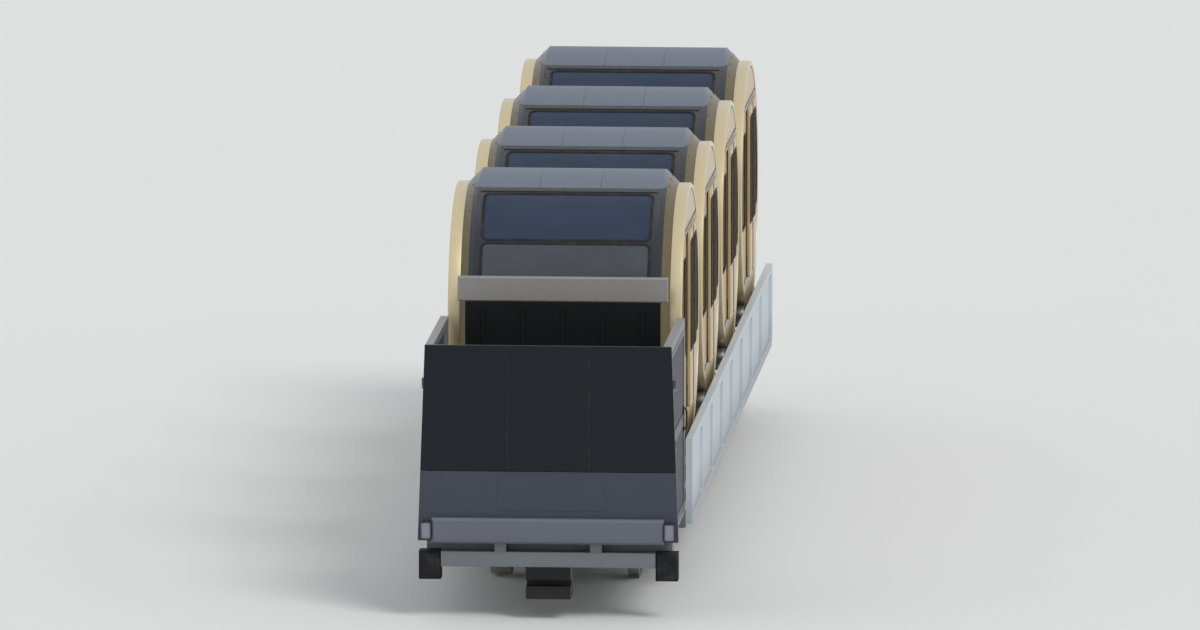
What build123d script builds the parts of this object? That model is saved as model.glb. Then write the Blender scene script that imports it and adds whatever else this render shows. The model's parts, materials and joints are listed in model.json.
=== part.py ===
from build123d import *

import math
import os

# A standard-gauge funicular car: four drum-shaped passenger cabins in a row on one underframe,
# each turning about its own cross axis to stay level on the slope, and a goods box at the
# downhill end. Millimetres. +Y is uphill, +X is the right side seen from the downhill end,
# +Z is up from the floor under the wheel flanges. Drums stand level, doors and gates closed.
# Lengths named for a drum are measured from its axis.

# Drums: barrel, bevelled gold rims, side discs
DRUM_COUNT = 4
DRUM_RADIUS = 1650.0
DRUM_GAP = 200.0
BARREL_HALF = 1035.0
BEVEL_WIDTH = 148.0
BEVEL_DROP = 150.0
RIM_WIDTH = 137.0
RIM_DEPTH = 60.0
RIM_CHAMFER = 12.0
SHELL_WALL = 50.0
DISC_WALL = 30.0
DISC_INSET = 12.0

# Windows of the drums, in degrees above the horizontal where they curve round the barrel
WINDOW_MARGIN = 85.0
WINDOW_BANDS_DEG = [(-14.0, 36.8), (38.2, 63.0)]
WINDOW_CORNER = 70.0
PANE_WALL = 14.0
SIDE_WINDOW_POST = 160.0
SIDE_WINDOW_BORDER = 75.0
SIDE_WINDOW_LOW = -330.0
SIDE_WINDOW_HIGH = 760.0
SIDE_WINDOW_CORNER = 60.0

# Doors: two leaves a side, which slide apart on the outside of the disc
DOOR_HALF = 560.0
DOOR_CROWN = 40.0
DOOR_TOP_CORNER = 150.0
DOOR_SILL_CORNER = 30.0
LEAF_LAP = 15.0
LEAF_WALL = 30.0
LEAF_GAP = 5.0
LEAF_MEET = 3.0
LEAF_RIM_GAP = 12.0
LEAF_STILE = 85.0
LEAF_KICK = 620.0
LEAF_HEAD = 130.0
LEAF_CORNER = 50.0
TRACK_HEIGHT = 45.0
TRACK_DROP = 12.0

# Cabin interior
FLOOR_DROP = 950.0
FLOOR_WALL = 40.0
POLE_RADIUS = 17.0
POLE_X = 470.0
POLE_Y = 720.0
SEAT_HEIGHT = 450.0
SEAT_WALL = 40.0
SEAT_DEPTH = 420.0
SEAT_END = 130.0
SEAT_LEG_SET = 60.0
SEAT_LEG_WALL = 30.0

# Wheels and bogies
GAUGE = 1435.0
RAIL_HEAD = 70.0
TREAD_RADIUS = 300.0
FLANGE_HEIGHT = 20.0
FLANGE_WIDTH = 28.0
FLANGE_SLOPE = 8.0
TREAD_CLEAR = 6.0
ROLLER_TREAD = 240.0
ROLLER_INSET = 30.0
AXLE_RADIUS = 60.0
HUB_RADIUS = 110.0
WEB_WALL = 40.0
TYRE_WALL = 55.0
RUNNING_GAP = 0.06
BOGIE_BASE = 1700.0
BOGIE_SIDE_X = 400.0
BOGIE_SIDE_WALL = 60.0
BOGIE_BOX_RADIUS = 130.0
BOGIE_BOX_LENGTH = 120.0
BOGIE_PIVOT_RISE = 130.0
BOGIE_PIN_RADIUS = 45.0
BOGIE_BAR_OFFSET = 450.0
BOGIE_BAR = 100.0
BOGIE_END = 65.0
BOGIE_SHOULDER = 32.0
BOGIE_BELLY = 16.0
BOGIE_FLAT = 212.0
HANGER_FOOT = 170.0
HANGER_EYE = 90.0
HANGER_INSET = 20.0

# Underframe
FRAME_GROUND = 595.0
FRAME_HEIGHT = 290.0
GIRDER_INNER = 470.0
GIRDER_WALL = 130.0
END_BEAM_HALF = 1200.0
BEAM_HEIGHT = 170.0
END_BEAM_DEPTH = 160.0
CROSS_DEPTH = 180.0
BEARER_DEPTH = 180.0
BEARER_HEIGHT = 120.0
SIDE_CLEAR = 30.0
SIDE_WALL = 75.0
SIDE_LOW_DROP = 125.0
SIDE_HIGH_DROP = 1150.0
SIDE_END_CUT = 150.0
SIDE_FLANGE = 90.0
SIDE_RIB = 70.0
SIDE_POCKET = 30.0
SIDE_POCKET_CORNER = 60.0
UNDER_DRUM = 335.0
SUPPORT_RADIUS = 130.0
SUPPORT_DEG = 32.0
SUPPORT_PIN = 32.0
SUPPORT_LUG_WALL = 25.0
SUPPORT_LUG_HALF = 60.0
SUPPORT_SIDE_GAP = 8.0
SEAT_GAP = 0.3
SEAM = 3.0

# Goods box and downhill front
BOX_LENGTH = 2300.0
BOX_GAP = 150.0
BOX_HEIGHT = 2205.0
FRONT_SPREAD = 80.0
FRONT_LAP = 5.0
FRONT_WALL = 50.0
FRONT_DROP = 15.0
FRONT_SPLIT = 785.0
PANEL_SEAM = 4.0
BUMPER_HEIGHT = 280.0
BUMPER_DEPTH = 110.0
BUMPER_CHAMFER = 25.0
LAMP_WIDTH = 125.0
LAMP_HEIGHT = 200.0
LAMP_END = 25.0
DECK_WALL = 60.0
POST_SIDE = 90.0
BOX_SIDE_INSET = 10.0
GATE_WALL = 45.0
GATE_GAP = 10.0
GATE_RAIL = 70.0
GATE_RECESS = 12.0
HINGE_COUNT = 3
HINGE_PIN_RADIUS = 12.0
HINGE_RADIUS = 22.0
HINGE_HEIGHT = 90.0
HINGE_GAP = 1.0
HINGE_STAND = 5.0
HINGE_PLATE = 30.0
HINGE_STRAP = 60.0
HEADBOARD_WALL = 40.0
HEADBOARD_LAP = 65.0
HEADBOARD_BAND = 280.0
HEADBOARD_RISE = 450.0
HEADBOARD_BAND_DEPTH = 90.0
BUFFER_WIDTH = 250.0
BUFFER_HEIGHT = 320.0
BUFFER_DEPTH = 220.0
BLOCK_WIDTH = 500.0
BLOCK_HEIGHT = 360.0
BLOCK_DEPTH = 420.0
TOW_SLOT = 80.0
TOW_SLOT_DEPTH = 160.0
TOW_BORE = 22.0

# Uphill end
REAR_OVERHANG = 300.0
ANCHOR_BORE = 30.0
ANCHOR_EAR = 40.0
ANCHOR_GAP = 90.0
ANCHOR_REACH = 180.0
ANCHOR_HEIGHT = 150.0
ANCHOR_BASE = 30.0
REAR_BUFFER_X = 950.0
REAR_BUFFER_RADIUS = 80.0
REAR_BUFFER_LENGTH = 60.0

# Places worked out from the driving dimensions: across the car
EDGE_X = BARREL_HALF + BEVEL_WIDTH
HALF_WIDTH = EDGE_X + RIM_WIDTH
DISC_OUTER_X = HALF_WIDTH - DISC_INSET
DISC_INNER_X = DISC_OUTER_X - DISC_WALL
LEAF_X0 = HALF_WIDTH + LEAF_GAP
LEAF_X1 = LEAF_X0 + LEAF_WALL
SIDE_INNER = LEAF_X1 + SIDE_CLEAR
SIDE_OUTER = SIDE_INNER + SIDE_WALL
BOX_HALF = SIDE_INNER - BOX_SIDE_INSET
GIRDER_OUTER = GIRDER_INNER + GIRDER_WALL
RAIL_X = (GAUGE + RAIL_HEAD) / 2.0

# Round the drum axis
RIM_RADIUS = DRUM_RADIUS - BEVEL_DROP
RIM_INNER = RIM_RADIUS - RIM_DEPTH
SHELL_INNER = DRUM_RADIUS - SHELL_WALL
DOOR_LOW = -FLOOR_DROP
LEAF_TRAVEL = DOOR_HALF - LEAF_LAP
LEAF_REACH = RIM_RADIUS - LEAF_RIM_GAP
LEAF_OUTER_CORNER = math.sqrt(LEAF_REACH ** 2 - (LEAF_TRAVEL + DOOR_HALF + LEAF_LAP) ** 2)
DOOR_HIGH = LEAF_OUTER_CORNER + DOOR_CROWN
LEAF_LOW = DOOR_LOW - LEAF_LAP
LEAF_HIGH = DOOR_HIGH + LEAF_LAP
WINDOW_HALF = BARREL_HALF - WINDOW_MARGIN
SEAT_Z = DOOR_LOW + SEAT_HEIGHT
SEAT_BACK_Y = math.sqrt(SHELL_INNER ** 2 - SEAT_Z ** 2)
SEAT_FRONT_Y = SEAT_BACK_Y - SEAT_DEPTH
SUPPORT_REACH = RIM_RADIUS + SUPPORT_RADIUS + SEAT_GAP
SUPPORT_DY = SUPPORT_REACH * math.sin(math.radians(SUPPORT_DEG))
SUPPORT_DZ = SUPPORT_REACH * math.cos(math.radians(SUPPORT_DEG))

# Up from the floor
AXLE_Z = TREAD_RADIUS + FLANGE_HEIGHT
PIVOT_Z = AXLE_Z + BOGIE_PIVOT_RISE
FRAME_LOW_Z = FRAME_GROUND
FRAME_HIGH_Z = FRAME_LOW_Z + FRAME_HEIGHT
DRUM_AXIS_Z = FRAME_HIGH_Z + UNDER_DRUM + DRUM_RADIUS
DECK_Z = FRAME_HIGH_Z + DECK_WALL
BOX_HIGH_Z = FRAME_HIGH_Z + BOX_HEIGHT
FRONT_LOW_Z = FRAME_HIGH_Z - FRONT_DROP
SIDE_LOW_Z = FRAME_HIGH_Z - SIDE_LOW_DROP
SIDE_HIGH_Z = DRUM_AXIS_Z - SIDE_HIGH_DROP
HEADBOARD_HIGH_Z = BOX_HIGH_Z + HEADBOARD_RISE

# Along the track
DRUM_PITCH = 2 * DRUM_RADIUS + DRUM_GAP
BOX_TO_DRUM = DRUM_RADIUS + BOX_GAP
FRONT_REACH = BOX_TO_DRUM + BOX_LENGTH + BUMPER_DEPTH
REAR_REACH = (DRUM_COUNT - 1) * DRUM_PITCH + DRUM_RADIUS + REAR_OVERHANG + ANCHOR_REACH
FIRST_Y = (FRONT_REACH - REAR_REACH) / 2.0
DRUM_Y = [FIRST_Y + i * DRUM_PITCH for i in range(DRUM_COUNT)]
BOX_REAR_Y = FIRST_Y - BOX_TO_DRUM
BOX_FRONT_Y = BOX_REAR_Y - BOX_LENGTH
FRAME_REAR_Y = DRUM_Y[-1] + DRUM_RADIUS + REAR_OVERHANG
GAP_Y = [y - DRUM_PITCH / 2.0 for y in DRUM_Y]
CROSS_FRONT_Y = BOX_FRONT_Y + 2 * END_BEAM_DEPTH
CROSS_REAR_Y = FRAME_REAR_Y - 2 * END_BEAM_DEPTH
BOGIE_Y = [DRUM_Y[0], DRUM_Y[-1]]
SUPPORT_Y = [y + side * SUPPORT_DY for y in DRUM_Y for side in (-1, 1)]
GATE_Y0 = BOX_FRONT_Y + FRONT_WALL + POST_SIDE + GATE_GAP
GATE_Y1 = BOX_REAR_Y - POST_SIDE - GATE_GAP
GATE_LOW_Z = DECK_Z + GATE_GAP
GATE_HIGH_Z = BOX_HIGH_Z - POST_SIDE - GATE_GAP
HINGE_X = BOX_HALF + HINGE_STAND + HINGE_RADIUS
HINGE_STEP = (GATE_HIGH_Z - GATE_LOW_Z) / HINGE_COUNT
HINGE_Z = [GATE_LOW_Z + (i + 0.5) * HINGE_STEP for i in range(HINGE_COUNT)]


def block(x0, x1, y0, y1, z0, z1):
    """A box between two corners."""
    size = Box(x1 - x0, y1 - y0, z1 - z0)
    return Pos((x0 + x1) / 2, (y0 + y1) / 2, (z0 + z1) / 2) * size


def rod(radius, x0, x1, y, z):
    """A round bar along X."""
    return Pos((x0 + x1) / 2, y, z) * Rot(0, 90, 0) * Cylinder(radius, x1 - x0)


def upright(radius, x, y, z0, z1):
    """A round bar along Z."""
    return Pos(x, y, (z0 + z1) / 2) * Cylinder(radius, z1 - z0)


def side_plate(outline, x0, x1):
    """A plate between two x planes from an outline of (y, z) points."""
    face = make_face(Polyline(*[(x0, y, z) for y, z in outline], close=True))
    return extrude(face, amount=x1 - x0, dir=(1, 0, 0))


def round_slab(x0, x1, y0, y1, z0, z1, corner):
    """A box with its four corners rounded where it is seen along X."""
    slab = block(x0, x1, y0, y1, z0, z1)
    return fillet(slab.edges().filter_by(Axis.X), corner)


def both_sides(solid):
    """A solid of the +X side and its mirror image, as a list."""
    return [solid, mirror(solid, about=Plane.YZ)]


def both_ends(solid):
    """A solid of the downhill half of a drum and its mirror image, as a list."""
    return [solid, mirror(solid, about=Plane.XZ)]


def turned(outline, start=0.0, sweep=360.0):
    """Revolves an outline of (x, r) points about the X axis, down from start degrees above -Y."""
    face = make_face(Polyline(*[(x, -r, 0) for x, r in outline], close=True))
    solid = revolve(face, axis=Axis.X, revolution_arc=sweep)
    return Rot(-start, 0, 0) * solid if sweep < 360 else solid


def mirrored_outline(right):
    """An outline made whole with the mirror image of its right half."""
    return right + [(-x, r) for x, r in reversed(right)]


def window_slab(clear, r0, r1, low, high):
    """The solid of one curved window of the downhill side, drawn in by a clearance."""
    lean = math.degrees(clear / DRUM_RADIUS)
    half = WINDOW_HALF - clear
    outline = [(-half, r0), (half, r0), (half, r1), (-half, r1)]
    slab = turned(outline, high - lean, high - low - 2 * lean)
    lines = slab.edges().filter_by(GeomType.LINE)
    corners = [e for e in lines if abs(e.length - (r1 - r0)) < SEAT_GAP]
    return fillet(corners, WINDOW_CORNER - clear)


def drum_core(clear):
    """The room inside the barrel wall, the rims and the discs, less a clearance."""
    rim = RIM_INNER - clear
    end = DISC_INNER_X - clear
    right = [(BARREL_HALF, SHELL_INNER - clear), (EDGE_X, rim), (end, rim), (end, 0)]
    return turned(mirrored_outline(right))


def drum_shell():
    """The barrel wall with two curved windows to each end."""
    right = [(BARREL_HALF, DRUM_RADIUS), (BARREL_HALF, SHELL_INNER)]
    wall = turned(mirrored_outline(right))
    for low, high in WINDOW_BANDS_DEG:
        for hole in both_ends(window_slab(0.0, SHELL_INNER - 1, DRUM_RADIUS + 1, low, high)):
            wall -= hole
    return wall


def drum_rim():
    """The +X end ring: a bevel from the barrel down to the band that runs on the rollers."""
    outline = [(BARREL_HALF, DRUM_RADIUS), (EDGE_X, RIM_RADIUS)]
    outline += [(HALF_WIDTH - RIM_CHAMFER, RIM_RADIUS), (HALF_WIDTH, RIM_RADIUS - RIM_CHAMFER)]
    outline += [(HALF_WIDTH, RIM_INNER), (EDGE_X, RIM_INNER), (BARREL_HALF, SHELL_INNER)]
    return turned(outline)


def doorway(x0, x1):
    """The solid that a doorway leaves open."""
    low_part = round_slab(x0, x1, -DOOR_HALF, DOOR_HALF, DOOR_LOW, 0, DOOR_SILL_CORNER)
    corner = DOOR_TOP_CORNER
    high_part = round_slab(x0, x1, -DOOR_HALF, DOOR_HALF, DOOR_LOW + corner, DOOR_HIGH, corner)
    return low_part + high_part


def side_window(clear, x0, x1):
    """The +Y side window of a disc, bounded outwards by an arc about the drum axis."""
    y0 = DOOR_HALF + SIDE_WINDOW_POST + clear
    slab = block(x0, x1, y0, RIM_RADIUS, SIDE_WINDOW_LOW + clear, SIDE_WINDOW_HIGH - clear)
    slab &= rod(RIM_INNER - SIDE_WINDOW_BORDER - clear, x0, x1, 0, 0)
    return fillet(slab.edges().filter_by(Axis.X), SIDE_WINDOW_CORNER - clear)


def drum_disc():
    """The gold disc of the +X side, with its doorway, side windows and door tracks."""
    x0, x1 = DISC_INNER_X, DISC_OUTER_X
    disc = rod(RIM_INNER - SEAT_GAP, x0, x1, 0, 0)
    disc -= doorway(x0 - 1, x1 + 1)
    for window in both_ends(side_window(0.0, x0 - 1, x1 + 1)):
        disc -= window
    for z0 in (LEAF_HIGH - TRACK_DROP, LEAF_LOW + TRACK_DROP - TRACK_HEIGHT):
        z1 = z0 + TRACK_HEIGHT
        reach = math.sqrt(RIM_INNER ** 2 - max(abs(z0), abs(z1)) ** 2) - LEAF_RIM_GAP
        disc += block(x1, LEAF_X0 - SEAT_GAP, -reach, reach, z0, z1)
    return disc


def drum_glazing():
    """All fixed panes of a drum: four curved ones and four in the discs."""
    outer = DRUM_RADIUS - SEAM
    panes = []
    for low, high in WINDOW_BANDS_DEG:
        panes += both_ends(window_slab(SEAT_GAP, outer - PANE_WALL, outer, low, high))
    x1 = DISC_OUTER_X - SEAM
    for pane in both_ends(side_window(SEAT_GAP, x1 - PANE_WALL, x1)):
        panes += both_sides(pane)
    return panes


def drum_cabin():
    """Floor, end benches and grab poles of a cabin, each fitted to the room inside."""
    core = drum_core(SEAT_GAP)
    low = DOOR_LOW - FLOOR_WALL
    floor = block(-HALF_WIDTH, HALF_WIDTH, -DRUM_RADIUS, DRUM_RADIUS, low, DOOR_LOW)
    half = BARREL_HALF - SEAT_END
    foot = DOOR_LOW + SEAT_GAP
    seat = block(-half, half, SEAT_FRONT_Y, DRUM_RADIUS, SEAT_Z - SEAT_WALL, SEAT_Z)
    leg_y = SEAT_FRONT_Y + SEAT_LEG_SET
    leg_half = half - SEAT_LEG_SET
    seat += block(-leg_half, leg_half, leg_y, leg_y + SEAT_LEG_WALL, foot, SEAT_Z)
    pieces = [floor] + both_ends(seat)
    for x in (-POLE_X, POLE_X):
        for y in (-POLE_Y, POLE_Y):
            pieces.append(upright(POLE_RADIUS, x, y, foot, DRUM_RADIUS))
    return [piece & core for piece in pieces]


def door_leaf():
    """The +X, +Y leaf of a door: its frame and its pane."""
    x0, x1 = LEAF_X0, LEAF_X1
    y1 = DOOR_HALF + LEAF_LAP
    frame = block(x0, x1, LEAF_MEET, y1, LEAF_LOW, LEAF_HIGH)
    frame &= rod(LEAF_REACH, x0, x1, -LEAF_TRAVEL, 0)
    clear = SEAT_GAP
    y_low, y_high = LEAF_STILE, y1 - LEAF_STILE
    z_low, z_high = LEAF_LOW + LEAF_KICK, LEAF_HIGH - LEAF_HEAD
    frame -= round_slab(x0 - 1, x1 + 1, y_low, y_high, z_low, z_high, LEAF_CORNER)
    pane = round_slab(x0 + SEAM, x0 + SEAM + PANE_WALL, y_low + clear, y_high - clear,
                      z_low + clear, z_high - clear, LEAF_CORNER - clear)
    return [frame, pane]


def wheel_rim(half, right):
    """A wheel's body by its right-hand tread outline, with web, hub and bore below it."""
    inner = TREAD_RADIUS - TYRE_WALL
    web = WEB_WALL / 2
    hub = max(half - ROLLER_INSET, web + ROLLER_INSET)
    low = [(half, inner), (web, inner - web), (web, HUB_RADIUS), (hub, HUB_RADIUS)]
    return turned(mirrored_outline(right + low + [(hub, AXLE_RADIUS / 2)]))


def wheelset(y):
    """An axle with its flanged wheel on the right and its wide plain roller on the left."""
    tread = RAIL_HEAD / 2 + TREAD_CLEAR
    top = TREAD_RADIUS + FLANGE_HEIGHT
    outer = tread + FLANGE_WIDTH
    flanged = wheel_rim(outer, [(tread, TREAD_RADIUS), (tread + FLANGE_SLOPE, top), (outer, top)])
    half = ROLLER_TREAD / 2
    plain = wheel_rim(half, [(half - FLANGE_SLOPE, TREAD_RADIUS),
                             (half, TREAD_RADIUS - FLANGE_SLOPE)])
    end = RAIL_X + half
    axle = rod(AXLE_RADIUS, -end, end, 0, 0)
    whole = axle + Pos(RAIL_X, 0, 0) * flanged + Pos(-RAIL_X, 0, 0) * plain
    return Pos(0, y, AXLE_Z) * whole


def bogie_frame(y):
    """Two side plates with axle bearings, tied by two bars, and the pin that it rocks on."""
    half = BOGIE_BASE / 2
    r = BOGIE_BOX_RADIUS
    crown = BOGIE_PIVOT_RISE + BOGIE_PIN_RADIUS + BOGIE_BELLY
    right = [(BOGIE_FLAT, BOGIE_BELLY), (half - r, -BOGIE_SHOULDER),
             (half + BOGIE_END, -BOGIE_END), (half, r), (BOGIE_FLAT, crown)]
    outline = mirrored_outline(right)
    solid = None
    for x in (-BOGIE_SIDE_X, BOGIE_SIDE_X):
        x0, x1 = x - BOGIE_SIDE_WALL / 2, x + BOGIE_SIDE_WALL / 2
        plate = side_plate(outline, x0, x1)
        box_half = BOGIE_BOX_LENGTH / 2
        for end in (-half, half):
            plate += rod(r, x - box_half, x + box_half, end, 0)
        for end in (-half, half):
            plate -= rod(AXLE_RADIUS + RUNNING_GAP, x - r, x + r, end, 0)
        solid = plate if solid is None else solid + plate
    for bar in (-BOGIE_BAR_OFFSET, BOGIE_BAR_OFFSET):
        solid += block(-BOGIE_SIDE_X, BOGIE_SIDE_X, bar - BOGIE_BAR / 2, bar + BOGIE_BAR / 2,
                       BOGIE_SHOULDER, BOGIE_SHOULDER + BOGIE_BAR)
    reach = GIRDER_OUTER - HANGER_INSET / 2
    solid += rod(BOGIE_PIN_RADIUS, -reach, reach, 0, BOGIE_PIVOT_RISE)
    return Pos(0, y, AXLE_Z) * solid


def bogie_hangers():
    """The lugs under the +X girder with the bores that the bogie pins rock in."""
    low = PIVOT_Z - BOGIE_PIN_RADIUS - HANGER_INSET
    x0, x1 = GIRDER_INNER + HANGER_INSET, GIRDER_OUTER - HANGER_INSET
    lugs = []
    for y in BOGIE_Y:
        outline = [(y - HANGER_EYE, low), (y + HANGER_EYE, low), (y + HANGER_FOOT, FRAME_LOW_Z),
                   (y - HANGER_FOOT, FRAME_LOW_Z)]
        lug = side_plate(outline, x0, x1)
        lug -= rod(BOGIE_PIN_RADIUS + RUNNING_GAP, x0 - 1, x1 + 1, y, PIVOT_Z)
        lugs.append(lug)
    return lugs


def girders():
    """The two long girders, notched over the end beams, with the hangers of the bogies."""
    y0, y1 = BOX_FRONT_Y, FRAME_REAR_Y
    depth = END_BEAM_DEPTH
    step = FRAME_LOW_Z + BEAM_HEIGHT
    outline = [(y0, step), (y0 + depth, step), (y0 + depth, FRAME_LOW_Z),
               (y1 - depth, FRAME_LOW_Z), (y1 - depth, step), (y1, step), (y1, FRAME_HIGH_Z),
               (y0, FRAME_HIGH_Z)]
    girder = side_plate(outline, GIRDER_INNER, GIRDER_OUTER)
    for lug in bogie_hangers():
        girder += lug
    return both_sides(girder)


def cross_beams():
    """Beams across the ends, cross members in and outside the girders, and roller bearers."""
    beams = []
    for y in (BOX_FRONT_Y, FRAME_REAR_Y - END_BEAM_DEPTH):
        beams.append(block(-END_BEAM_HALF, END_BEAM_HALF, y, y + END_BEAM_DEPTH,
                           FRAME_LOW_Z, FRAME_LOW_Z + BEAM_HEIGHT))
    low = FRAME_HIGH_Z - BEAM_HEIGHT
    reaches = {CROSS_FRONT_Y: BOX_HALF} | {y: SIDE_INNER for y in GAP_Y + [CROSS_REAR_Y]}
    for y, reach in reaches.items():
        y0, y1 = y - CROSS_DEPTH / 2, y + CROSS_DEPTH / 2
        beams.append(block(-GIRDER_INNER, GIRDER_INNER, y0, y1, low, FRAME_HIGH_Z))
        beams += both_sides(block(GIRDER_OUTER, reach, y0, y1, low, FRAME_HIGH_Z))
    for y in SUPPORT_Y:
        y0, y1 = y - BEARER_DEPTH / 2, y + BEARER_DEPTH / 2
        beams += both_sides(block(GIRDER_INNER, SIDE_INNER, y0, y1, FRAME_HIGH_Z,
                                  FRAME_HIGH_Z + BEARER_HEIGHT))
    return beams


def side_beams():
    """The deep light-grey plate beams outside the drums, ribbed at every half pitch."""
    y0, y1 = BOX_REAR_Y, FRAME_REAR_Y
    outline = [(y0, SIDE_LOW_Z), (y1 - SIDE_END_CUT, SIDE_LOW_Z), (y1, SIDE_LOW_Z + SIDE_END_CUT),
               (y1, SIDE_HIGH_Z), (y0, SIDE_HIGH_Z)]
    beam = side_plate(outline, SIDE_INNER, SIDE_OUTER)
    ribs = [y0] + sorted(GAP_Y[1:] + DRUM_Y) + [y1 - SIDE_END_CUT]
    for start, end in zip(ribs, ribs[1:]):
        beam -= round_slab(SIDE_OUTER - SIDE_POCKET, SIDE_OUTER + 1, start + SIDE_RIB / 2,
                           end - SIDE_RIB / 2, SIDE_LOW_Z + SIDE_FLANGE,
                           SIDE_HIGH_Z - SIDE_FLANGE, SIDE_POCKET_CORNER)
    return both_sides(beam)


def support_rollers():
    """Rollers on short pins under each rim, two to a rim."""
    z = DRUM_AXIS_Z - SUPPORT_DZ
    x0, x1 = EDGE_X + SUPPORT_SIDE_GAP, HALF_WIDTH - SUPPORT_SIDE_GAP
    lug = SUPPORT_LUG_WALL + SUPPORT_SIDE_GAP
    rollers = []
    for y in SUPPORT_Y:
        roller = rod(SUPPORT_RADIUS, x0, x1, y, z)
        roller += rod(SUPPORT_PIN, EDGE_X - lug, HALF_WIDTH + lug, y, z)
        rollers += both_sides(roller)
    return rollers


def roller_lugs():
    """The pairs of lugs that hold the support rollers' pins, on their bearers."""
    z0, z1 = FRAME_HIGH_Z + BEARER_HEIGHT, DRUM_AXIS_Z - SUPPORT_DZ
    half, wall, gap = SUPPORT_LUG_HALF, SUPPORT_LUG_WALL, SUPPORT_SIDE_GAP
    lugs = []
    for y in SUPPORT_Y:
        for x0 in (EDGE_X - gap - wall, HALF_WIDTH + gap):
            lug = block(x0, x0 + wall, y - half, y + half, z0, z1)
            lug += rod(half, x0, x0 + wall, y, z1)
            lug -= rod(SUPPORT_PIN + SEAT_GAP, x0 - 1, x0 + wall + 1, y, z1)
            lugs += both_sides(lug)
    return lugs


def goods_deck():
    """The load floor of the goods box, between the sills of its side frames."""
    half = BOX_HALF - POST_SIDE
    return block(-half, half, BOX_FRONT_Y + FRONT_WALL, BOX_REAR_Y, FRAME_HIGH_Z, DECK_Z)


def front_half(z):
    """Half the width of the tapered front at a height."""
    share = (BOX_HIGH_Z - z) / (BOX_HIGH_Z - FRONT_LOW_Z)
    return BOX_HALF + FRONT_LAP + FRONT_SPREAD * share


def front_sheet(z0, z1):
    """One panel of the tapered front between two heights."""
    a, b = front_half(z0), front_half(z1)
    outline = [(-a, z0), (a, z0), (b, z1), (-b, z1)]
    face = make_face(Polyline(*[(x, BOX_FRONT_Y, z) for x, z in outline], close=True))
    return extrude(face, amount=FRONT_WALL, dir=(0, 1, 0))


def front_upper():
    """The dark upper panel of the front."""
    return front_sheet(FRAME_HIGH_Z + FRONT_SPLIT + PANEL_SEAM, BOX_HIGH_Z)


def front_lower():
    """The slate lower panel of the front, which stands on the girders behind the bumper."""
    return front_sheet(FRAME_HIGH_Z, FRAME_HIGH_Z + FRONT_SPLIT)


def bumper():
    """The bumper band across the front."""
    half = bumper_half()
    band = block(-half, half, BOX_FRONT_Y - BUMPER_DEPTH, BOX_FRONT_Y, FRONT_LOW_Z,
                 FRONT_LOW_Z + BUMPER_HEIGHT)
    edges = band.faces().sort_by(Axis.Y)[0].edges()
    return chamfer(edges, BUMPER_CHAMFER)


def bumper_half():
    """Half the bumper's length, short of the lamps at its ends."""
    return front_half(FRONT_LOW_Z + BUMPER_HEIGHT) - LAMP_END - LAMP_WIDTH


def end_lamps():
    """Lamp units at the ends of the bumper."""
    z0 = FRONT_LOW_Z + (BUMPER_HEIGHT - LAMP_HEIGHT) / 2
    x0 = bumper_half()
    lamp = block(x0, x0 + LAMP_WIDTH, BOX_FRONT_Y - BUMPER_DEPTH, BOX_FRONT_Y, z0,
                 z0 + LAMP_HEIGHT)
    lamp = fillet(lamp.faces().sort_by(Axis.Y)[0].edges(), BUMPER_CHAMFER)
    return both_sides(lamp)


def box_frames():
    """The side frames of the goods box: sill, posts, top rail and the gate's hinge pins."""
    y0, y1 = BOX_FRONT_Y + FRONT_WALL, BOX_REAR_Y
    x0, x1 = BOX_HALF - POST_SIDE, BOX_HALF
    frame = block(x0, x1, y0, y1, FRAME_HIGH_Z, BOX_HIGH_Z)
    frame -= block(x0 - 1, x1 + 1, y0 + POST_SIDE, y1 - POST_SIDE, DECK_Z,
                   BOX_HIGH_Z - POST_SIDE)
    post_y = GATE_Y0 - GATE_GAP
    for z in HINGE_Z:
        low = z - HINGE_HEIGHT / 2 - HINGE_GAP
        plate = low - HINGE_PLATE
        frame += block(x1, HINGE_X, post_y - HINGE_STRAP, GATE_Y0, plate, low)
        frame += upright(HINGE_RADIUS, HINGE_X, GATE_Y0, plate, low)
        frame += upright(HINGE_PIN_RADIUS, HINGE_X, GATE_Y0, low, low + HINGE_HEIGHT)
    return both_sides(frame)


def side_gate():
    """The +X side gate, hung on the front corner post, with a sheet set back in its frame."""
    x1 = BOX_HALF
    gate = block(x1 - GATE_WALL, x1, GATE_Y0, GATE_Y1, GATE_LOW_Z, GATE_HIGH_Z)
    middle = (GATE_LOW_Z + GATE_HIGH_Z) / 2
    for z0, z1 in ((GATE_LOW_Z, middle), (middle, GATE_HIGH_Z)):
        gate -= block(x1 - GATE_RECESS, x1 + 1, GATE_Y0 + GATE_RAIL, GATE_Y1 - GATE_RAIL,
                      z0 + GATE_RAIL, z1 - GATE_RAIL)
    for z in HINGE_Z:
        z0, z1 = z - HINGE_HEIGHT / 2, z + HINGE_HEIGHT / 2
        gate += block(x1 - 1, HINGE_X, GATE_Y0 + HINGE_STAND, GATE_Y0 + HINGE_STRAP, z0, z1)
        gate += upright(HINGE_RADIUS, HINGE_X, GATE_Y0, z0, z1)
    for z in HINGE_Z:
        gate -= upright(HINGE_PIN_RADIUS + RUNNING_GAP, HINGE_X, GATE_Y0,
                        z - HINGE_HEIGHT, z + HINGE_HEIGHT)
    return gate


def headboard():
    """The dark wall between the goods box and the first drum."""
    half = BARREL_HALF + HEADBOARD_LAP
    return block(-half, half, BOX_REAR_Y, BOX_REAR_Y + HEADBOARD_WALL,
                 FRAME_HIGH_Z, HEADBOARD_HIGH_Z - HEADBOARD_BAND)


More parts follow.
